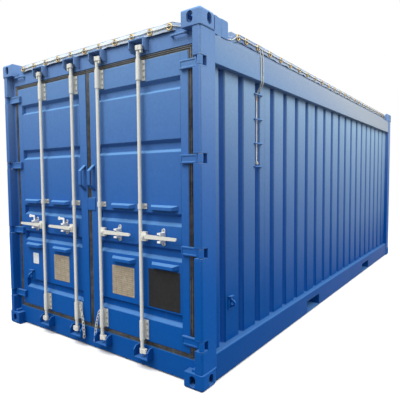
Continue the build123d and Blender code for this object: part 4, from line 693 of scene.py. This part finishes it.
# Door leaves: welded steel frames with troughed panels, hinge blades, rain hoods and grab handles.
# All are sprayed blue like the frame, and the hoods' upper faces carry the strongest painted highlight.
door_low, door_reflected, door_reflection_rise = (0.005, 0.083, 0.338, 1), (0.126, 0.238, 0.450, 1), (0.1, 2.4, 2.1)
door_blue = marine_paint("door_blue", door_low, door_reflected, door_reflection_rise, 0.38, 0.010, top_highlight=0.70)
coat_with(
    door_blue, "left_door_frame", "right_door_frame", "left_door_panel", "right_door_panel", "left_hinge_blades",
    "right_hinge_blades", "left_grab_handle", "right_grab_handle", "left_door_padeye",
)
hood_blue = marine_paint("hood_blue", door_low, door_reflected, door_reflection_rise, 0.38, 0.004, top_highlight=0.85)
coat_with(hood_blue, "left_rain_hoods", "right_rain_hoods")

# Door seals: extruded black rubber with three lips, clamped round each leaf and mitred at the corners.
# The seal between the leaves belongs to the right one, so the left one is open on that side.
rubber, rubber_shader, add = plain_finish("seal_rubber")
rubber_place = add("ShaderNodeTexCoord")
rubber_apart = add("ShaderNodeSeparateXYZ", Vector=rubber_place.outputs["Object"])
# Painted light: the seal is painted paler towards the top, against the header's shade, and in random blooms.
rubber_top_light = add("ShaderNodeMapRange", {"interpolation_type": "SMOOTHSTEP"}, Value=rubber_apart.outputs["Z"],
                  From_Min=1.9, From_Max=2.45)
rubber_cloud = noise(add, rubber_place, 14.0, 8.0, 0.7)
rubber_bloom = add("ShaderNodeMapRange", Value=rubber_cloud.outputs["Fac"], From_Min=0.40, From_Max=0.75)
rubber_bloom_and_light = reckon(add, "MULTIPLY_ADD", rubber_top_light.outputs[0], 1.30, rubber_bloom.outputs[0])
rubber_share = add("ShaderNodeMath", {"operation": "MULTIPLY", "use_clamp": True}, i0=rubber_bloom_and_light.outputs[0], i1=0.55)
rubber_tone = mixed(add, rubber_share.outputs[0], (0.020, 0.021, 0.022, 1), (0.190, 0.195, 0.195, 1))
wire(rubber, rubber_tone.outputs[2], rubber_shader.inputs["Base Color"])
rubber_bump = add("ShaderNodeBump", Strength=0.12, Distance=0.001, Height=rubber_cloud.outputs["Fac"])
wire(rubber, rubber_bump.outputs[0], rubber_shader.inputs["Normal"])
rubber_shader.inputs["Roughness"].default_value = 0.62


door_end = -3.029


def door_seal(inner, outer, closed):
    """Lipped strip: from an inner to an outer outline, its depth falling into a groove between three lips."""
    share = np.array([0.0, 0.0, 0.06, 0.14, 0.22, 0.30, 0.38, 0.46, 0.54, 0.62, 0.70, 0.78, 0.86, 0.94, 1.0, 1.0])
    front = np.array([0.096, 0.073, 0.070, 0.070, 0.078, 0.082, 0.078, 0.070, 0.070, 0.078, 0.082, 0.078, 0.070,
                      0.070, 0.073, 0.096])
    inner, outer = np.asarray(inner, float), np.asarray(outer, float)
    if closed:
        inner, outer = np.concatenate([inner, inner[:1]]), np.concatenate([outer, outer[:1]])
    place = np.linspace(0, len(inner) - 1, 24 * (len(inner) - 1) + 1)
    if closed:
        place = place[:-1]
    legs = np.arange(len(inner))
    near = np.stack([np.interp(place, legs, inner[:, k]) for k in range(2)], axis=1)
    far = np.stack([np.interp(place, legs, outer[:, k]) for k in range(2)], axis=1)
    flat = near[:, None] + share[None, :, None] * (far - near)[:, None]
    wander = 0.0012 * np.sin(7.3 * place)[:, None] * np.sin(math.pi * share)[None]
    depth = np.repeat(front[None], len(place), axis=0) - wander.clip(-0.001, 0.001) * (front < 0.09)
    rows = np.stack([flat[..., 0], depth + door_end, flat[..., 1]], axis=2)
    if not closed:
        ends = rows[[0, -1]].mean(axis=1, keepdims=True).repeat(rows.shape[1], axis=1)
        rows = np.concatenate([ends[:1], rows, ends[1:]])
    return rows


edge_in, top_in, foot_in = 1.063, 2.346, 0.216
edge_out, top_out, foot_out = 1.107, 2.379, 0.183
right_seal = skin(
    "right_seal",
    door_seal([(0.024, top_in), (edge_in, top_in), (edge_in, foot_in), (0.024, foot_in)],
              [(-0.020, top_out), (edge_out, top_out), (edge_out, foot_out), (-0.020, foot_out)], True),
    rubber, "right_door", around=True, along=True, smooth=False,
)
left_seal = skin(
    "left_seal",
    door_seal([(-0.028, top_in), (-edge_in, top_in), (-edge_in, foot_in), (-0.028, foot_in)],
              [(-0.028, top_out), (-edge_out, top_out), (-edge_out, foot_out), (-0.028, foot_out)], False),
    rubber, "left_door", around=True, smooth=False,
)
for seal, node in ((right_seal, "right_door_gasket"), (left_seal, "left_door_gasket")):
    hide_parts(node)

# Lock gear: drawn steel rods with forged ends, the bearings they turn in and the catches of their levers.
# All of it is galvanised, and the catches are painted the palest, as painted light against the shade behind the levers.
bright_zinc = zinc_coat("bright_zinc", (0.66, 0.66, 0.60, 1), (0.56, 0.56, 0.51, 1), 0.46, 0.10, 0.18)
rod_names = ("left_outer", "left_inner", "right_inner", "right_outer")
rod_x = np.array([-0.627, -0.167, 0.167, 0.627])
coat_with(bright_zinc, "left_rod_bearings", "right_rod_bearings", *[name + "_lock_rod" for name in rod_names])
# The catches' paler zinc is painted light, set against the shade they sit in.
catch_zinc_lit = zinc_coat("catch_zinc_lit", (0.88, 0.89, 0.86, 1), (0.76, 0.77, 0.75, 1), 0.40, 0.10, 0.10)
coat_with(catch_zinc_lit, "left_handle_catches", "right_handle_catches")


# Bolts: hexagon heads on washers that fix the bearings and catches to the leaves.
# A larger one is the pivot of each lever, and all are zinc plated.
def bolts_at(places, size):
    """Bolt heads facing forwards: rings of a washer, a hexagon that is a circle at its crown, and a closed top."""
    turn = np.linspace(0, 2 * math.pi, 12, endpoint=False)[None, :]
    ring = np.array([1.55, 1.55, 1.50, 1.0, 1.0, 0.82, 0.0])[:, None]
    lift = np.array([0.0, 0.20, 0.24, 0.24, 0.92, 1.06, 1.06])[:, None]
    six = np.array([0, 0, 0, 1, 1, 0, 0])[:, None]
    corner = 1 + six * (0.155 * np.cos(6 * turn) / 2 + 0.0775)
    radius = size * ring * corner
    shape = np.stack([radius * np.cos(turn), -size * lift + 0 * turn, radius * np.sin(turn)], axis=2)
    return np.asarray(places, float)[:, None, None, :] + shape[None]


bolt_zinc = zinc_coat("bolt_zinc", (0.36, 0.37, 0.36, 1), (0.28, 0.29, 0.28, 1), 0.45, 0.10, 0.15)
bolt_rows = np.array([0.258, 0.305, 0.352, 1.260, 2.224, 2.271, 2.318])
lever_level, foot_depth, strip_off, pivot_off, pivot_depth = 1.03605, 0.060, 0.0282, 0.042, 0.011
for word, side in (("left", -1), ("right", 1)):
    own_rods = rod_x[rod_x * side > 0]
    on_bearings = np.array([(x + strip_off, door_end + foot_depth, z) for x in own_rods for z in bolt_rows])
    catch_x = own_rods + side * (0.200 if side > 0 else 0.152)
    on_catches = np.array([
        (x, door_end + foot_depth, lever_level + lift) for x in catch_x for lift in (-0.053, 0.053)
    ])
    bolts = skin(word + "_door_bolts", np.concatenate([
        bolts_at(on_bearings, 0.0061), bolts_at(on_catches, 0.0070),
    ]), bolt_zinc, word + "_door", around=True, smooth=False)
for name, x in zip(rod_names, rod_x):
    side = 1 if x > 0 else -1
    pivot_place = (x + side * pivot_off, door_end + pivot_depth, lever_level)
    pivot = skin(name + "_lever_pivot", bolts_at([pivot_place], 0.0100), bright_zinc, name + "_rod", around=True,
                 smooth=False)

# Hinge washers: thin brass rings on the hinge pins.
# One lies above and one below each blade's knuckle.
washer_turn = np.linspace(0, 2 * math.pi, 24, endpoint=False)[None, :]
washer_ring = np.array([0.0095, 0.0160, 0.0160, 0.0095])[:, None]
washer_rise = np.array([-0.0008, -0.0008, 0.0008, 0.0008])[:, None]
washer = np.stack([washer_ring * np.cos(washer_turn), washer_ring * np.sin(washer_turn),
                   washer_rise + 0 * washer_turn], axis=2)
pin_x, pin_depth, knuckle_half = 1.193, 0.026, 0.032
washer_places = np.array([
    (side * pin_x, door_end + pin_depth, level + lift)
    for side in (-1, 1) for level in (0.314, 0.9587, 1.6033, 2.248) for lift in (-knuckle_half, knuckle_half)
])
washers = skin("hinge_washers", washer_places[:, None, None, :] + washer[None], brass, "container", around=True,
               along=True, smooth=False)


# Door plates: two etched tan data plates left blank, a black board and a small white plate.
# They are thin metal, and four rivets hold each to its door panel.
panel_depth = 0.068


def flat_plate(low, high, corner, thickness):
    """Thin plate: a rounded-rectangle outline carried up its edge, over a small bevel and in to the middle."""
    low, high = np.asarray(low, float), np.asarray(high, float)
    turn = np.linspace(0, 2 * math.pi, 48, endpoint=False) + math.pi / 48
    middle, half = (low + high) / 2, (high - low) / 2
    ways = np.stack([np.cos(turn), np.sin(turn)], axis=1)
    inset = np.array([0.0, 0.0, 0.3, 1.0, 1.0])[:, None, None] * thickness
    share = np.array([1.0, 1.0, 1.0, 1.0, 0.0])[:, None, None]
    lift = np.array([0.0, 0.7, 1.0, 1.0, 1.0])[:, None] * thickness
    outline = np.sign(ways) * (half - corner) + corner * ways
    flat = middle + share * (outline[None] - inset * ways[None])
    return np.stack([flat[..., 0], door_end + panel_depth - lift + 0 * flat[..., 0], flat[..., 1]], axis=2)


def plate_finish(name, pale, dark, ruled, roughness, metal):
    """Plate face: cloudy two-tone metal or enamel with, where asked, a faint ruled table etched into it."""
    made, shader, add = plain_finish(name)
    place = add("ShaderNodeTexCoord")
    turn = add("ShaderNodeMapping", Vector=place.outputs["Object"])
    turn.inputs["Rotation"].default_value = (math.pi / 2, 0.0, 0.0)
    cloud = noise(add, place, 34.0, 8.0, 0.75)
    share = add("ShaderNodeMapRange", Value=cloud.outputs["Fac"], From_Min=0.35, From_Max=0.68)
    body = mixed(add, share.outputs[0], dark, pale)
    table = add("ShaderNodeTexBrick", {"offset": 0.0}, Vector=turn.outputs[0], Scale=1.0, Color1=(1, 1, 1, 1),
                Color2=(0.93, 0.93, 0.93, 1), Mortar=(0.55, 0.52, 0.48, 1))
    table.inputs["Brick Width"].default_value = 0.062
    table.inputs["Row Height"].default_value = 0.017
    table.inputs["Mortar Size"].default_value = 0.0012
    etched = add("ShaderNodeMix", {"data_type": "RGBA", "blend_type": "MULTIPLY"}, i0=ruled, i6=body.outputs[2],
                 i7=table.outputs["Color"])
    wire(made, etched.outputs[2], shader.inputs["Base Color"])
    scratch = add("ShaderNodeBump", Strength=0.10, Distance=0.0006, Height=cloud.outputs["Fac"])
    wire(made, scratch.outputs[0], shader.inputs["Normal"])
    shader.inputs["Roughness"].default_value = roughness
    shader.inputs["Metallic"].default_value = metal
    shader.inputs["Specular IOR Level"].default_value = 0.08
    return made


tan_etch = plate_finish("tan_etch", (0.420, 0.360, 0.275, 1), (0.270, 0.225, 0.160, 1), 1.0, 0.45, 0.15)
black_board = plate_finish("black_board", (0.024, 0.024, 0.025, 1), (0.016, 0.016, 0.017, 1), 0.0, 0.60, 0.0)
white_enamel = plate_finish("white_enamel", (0.72, 0.74, 0.75, 1), (0.56, 0.59, 0.62, 1), 0.0, 0.35, 0.0)
for name, low, high, finish, body, corner, studs in (
    ("right_data_plate", (0.263, 0.527), (0.516, 0.765), tan_etch, "right_door", 0.006, 0.012),
    ("left_data_plate", (-0.534, 0.527), (-0.306, 0.765), tan_etch, "left_door", 0.006, 0.012),
    ("right_board", (0.668, 0.493), (0.976, 0.788), black_board, "right_door", 0.008, 0.014),
    ("left_small_plate", (-0.875, 0.640), (-0.785, 0.745), white_enamel, "left_door", 0.005, 0.009),
):
    plate = skin(name, flat_plate(low, high, corner, 0.002), finish, body, around=True, smooth=False)
    stud_places = [(x, door_end + panel_depth - 0.0018, z) for x in (low[0] + studs, high[0] - studs)
                   for z in (low[1] + studs, high[1] - studs)]
    turn = np.linspace(0, 2 * math.pi, 10, endpoint=False)[None, :]
    bow = np.linspace(0, 0.5 * math.pi, 5)[:, None]
    stud = 0.0036 * np.stack([np.cos(bow) * np.cos(turn), -0.6 * np.sin(bow) + 0 * turn, np.cos(bow) * np.sin(turn)],
                             axis=2)
    rivets = skin(name + "_rivets", np.array(stud_places)[:, None, None, :] + stud[None],
                  black_board if finish is black_board else bright_zinc, body, around=True)


# Safety chains: two short chains of welded steel links, galvanised.
# They hang from the lower bearings of the two middle rods.
def chain_at(top, end, count, wire_radius):
    """Chain: long round links, each a wire carried round a stadium, every second one turned a quarter about the run."""
    turn = np.linspace(0, 2 * math.pi, 14, endpoint=False)[None, :, None]
    small = np.linspace(0, 2 * math.pi, 6, endpoint=False)[None, None, :]
    pitch = (top[2] - end[2]) / count
    half = 0.62 * pitch
    wide = 0.38 * pitch
    reach = wide + wire_radius * np.cos(small)
    run = np.sign(np.cos(turn)) * (half - wide) + reach * np.cos(turn)
    side = reach * np.sin(turn)
    thick = wire_radius * np.sin(small) + 0 * turn
    order = np.arange(count)[:, None, None]
    odd = order % 2
    across = np.where(odd == 0, side, thick)
    depth = np.where(odd == 0, thick, side)
    along = order * pitch + run
    share = along / (count * pitch)
    drift = (end[0] - top[0]) * share * (2 - share)
    return np.stack([top[0] + across + drift, top[1] + depth + (end[1] - top[1]) * share, top[2] - along], axis=3)


for word, side in (("left", -1), ("right", 1)):
    chain_top, chain_end = (side * 0.122, -2.992, 0.345), (side * 0.072, -3.000, 0.070)
    chain = skin(word + "_chain", chain_at(chain_top, chain_end, 10, 0.0030), bright_zinc, word + "_door", around=True,
                 along=True)
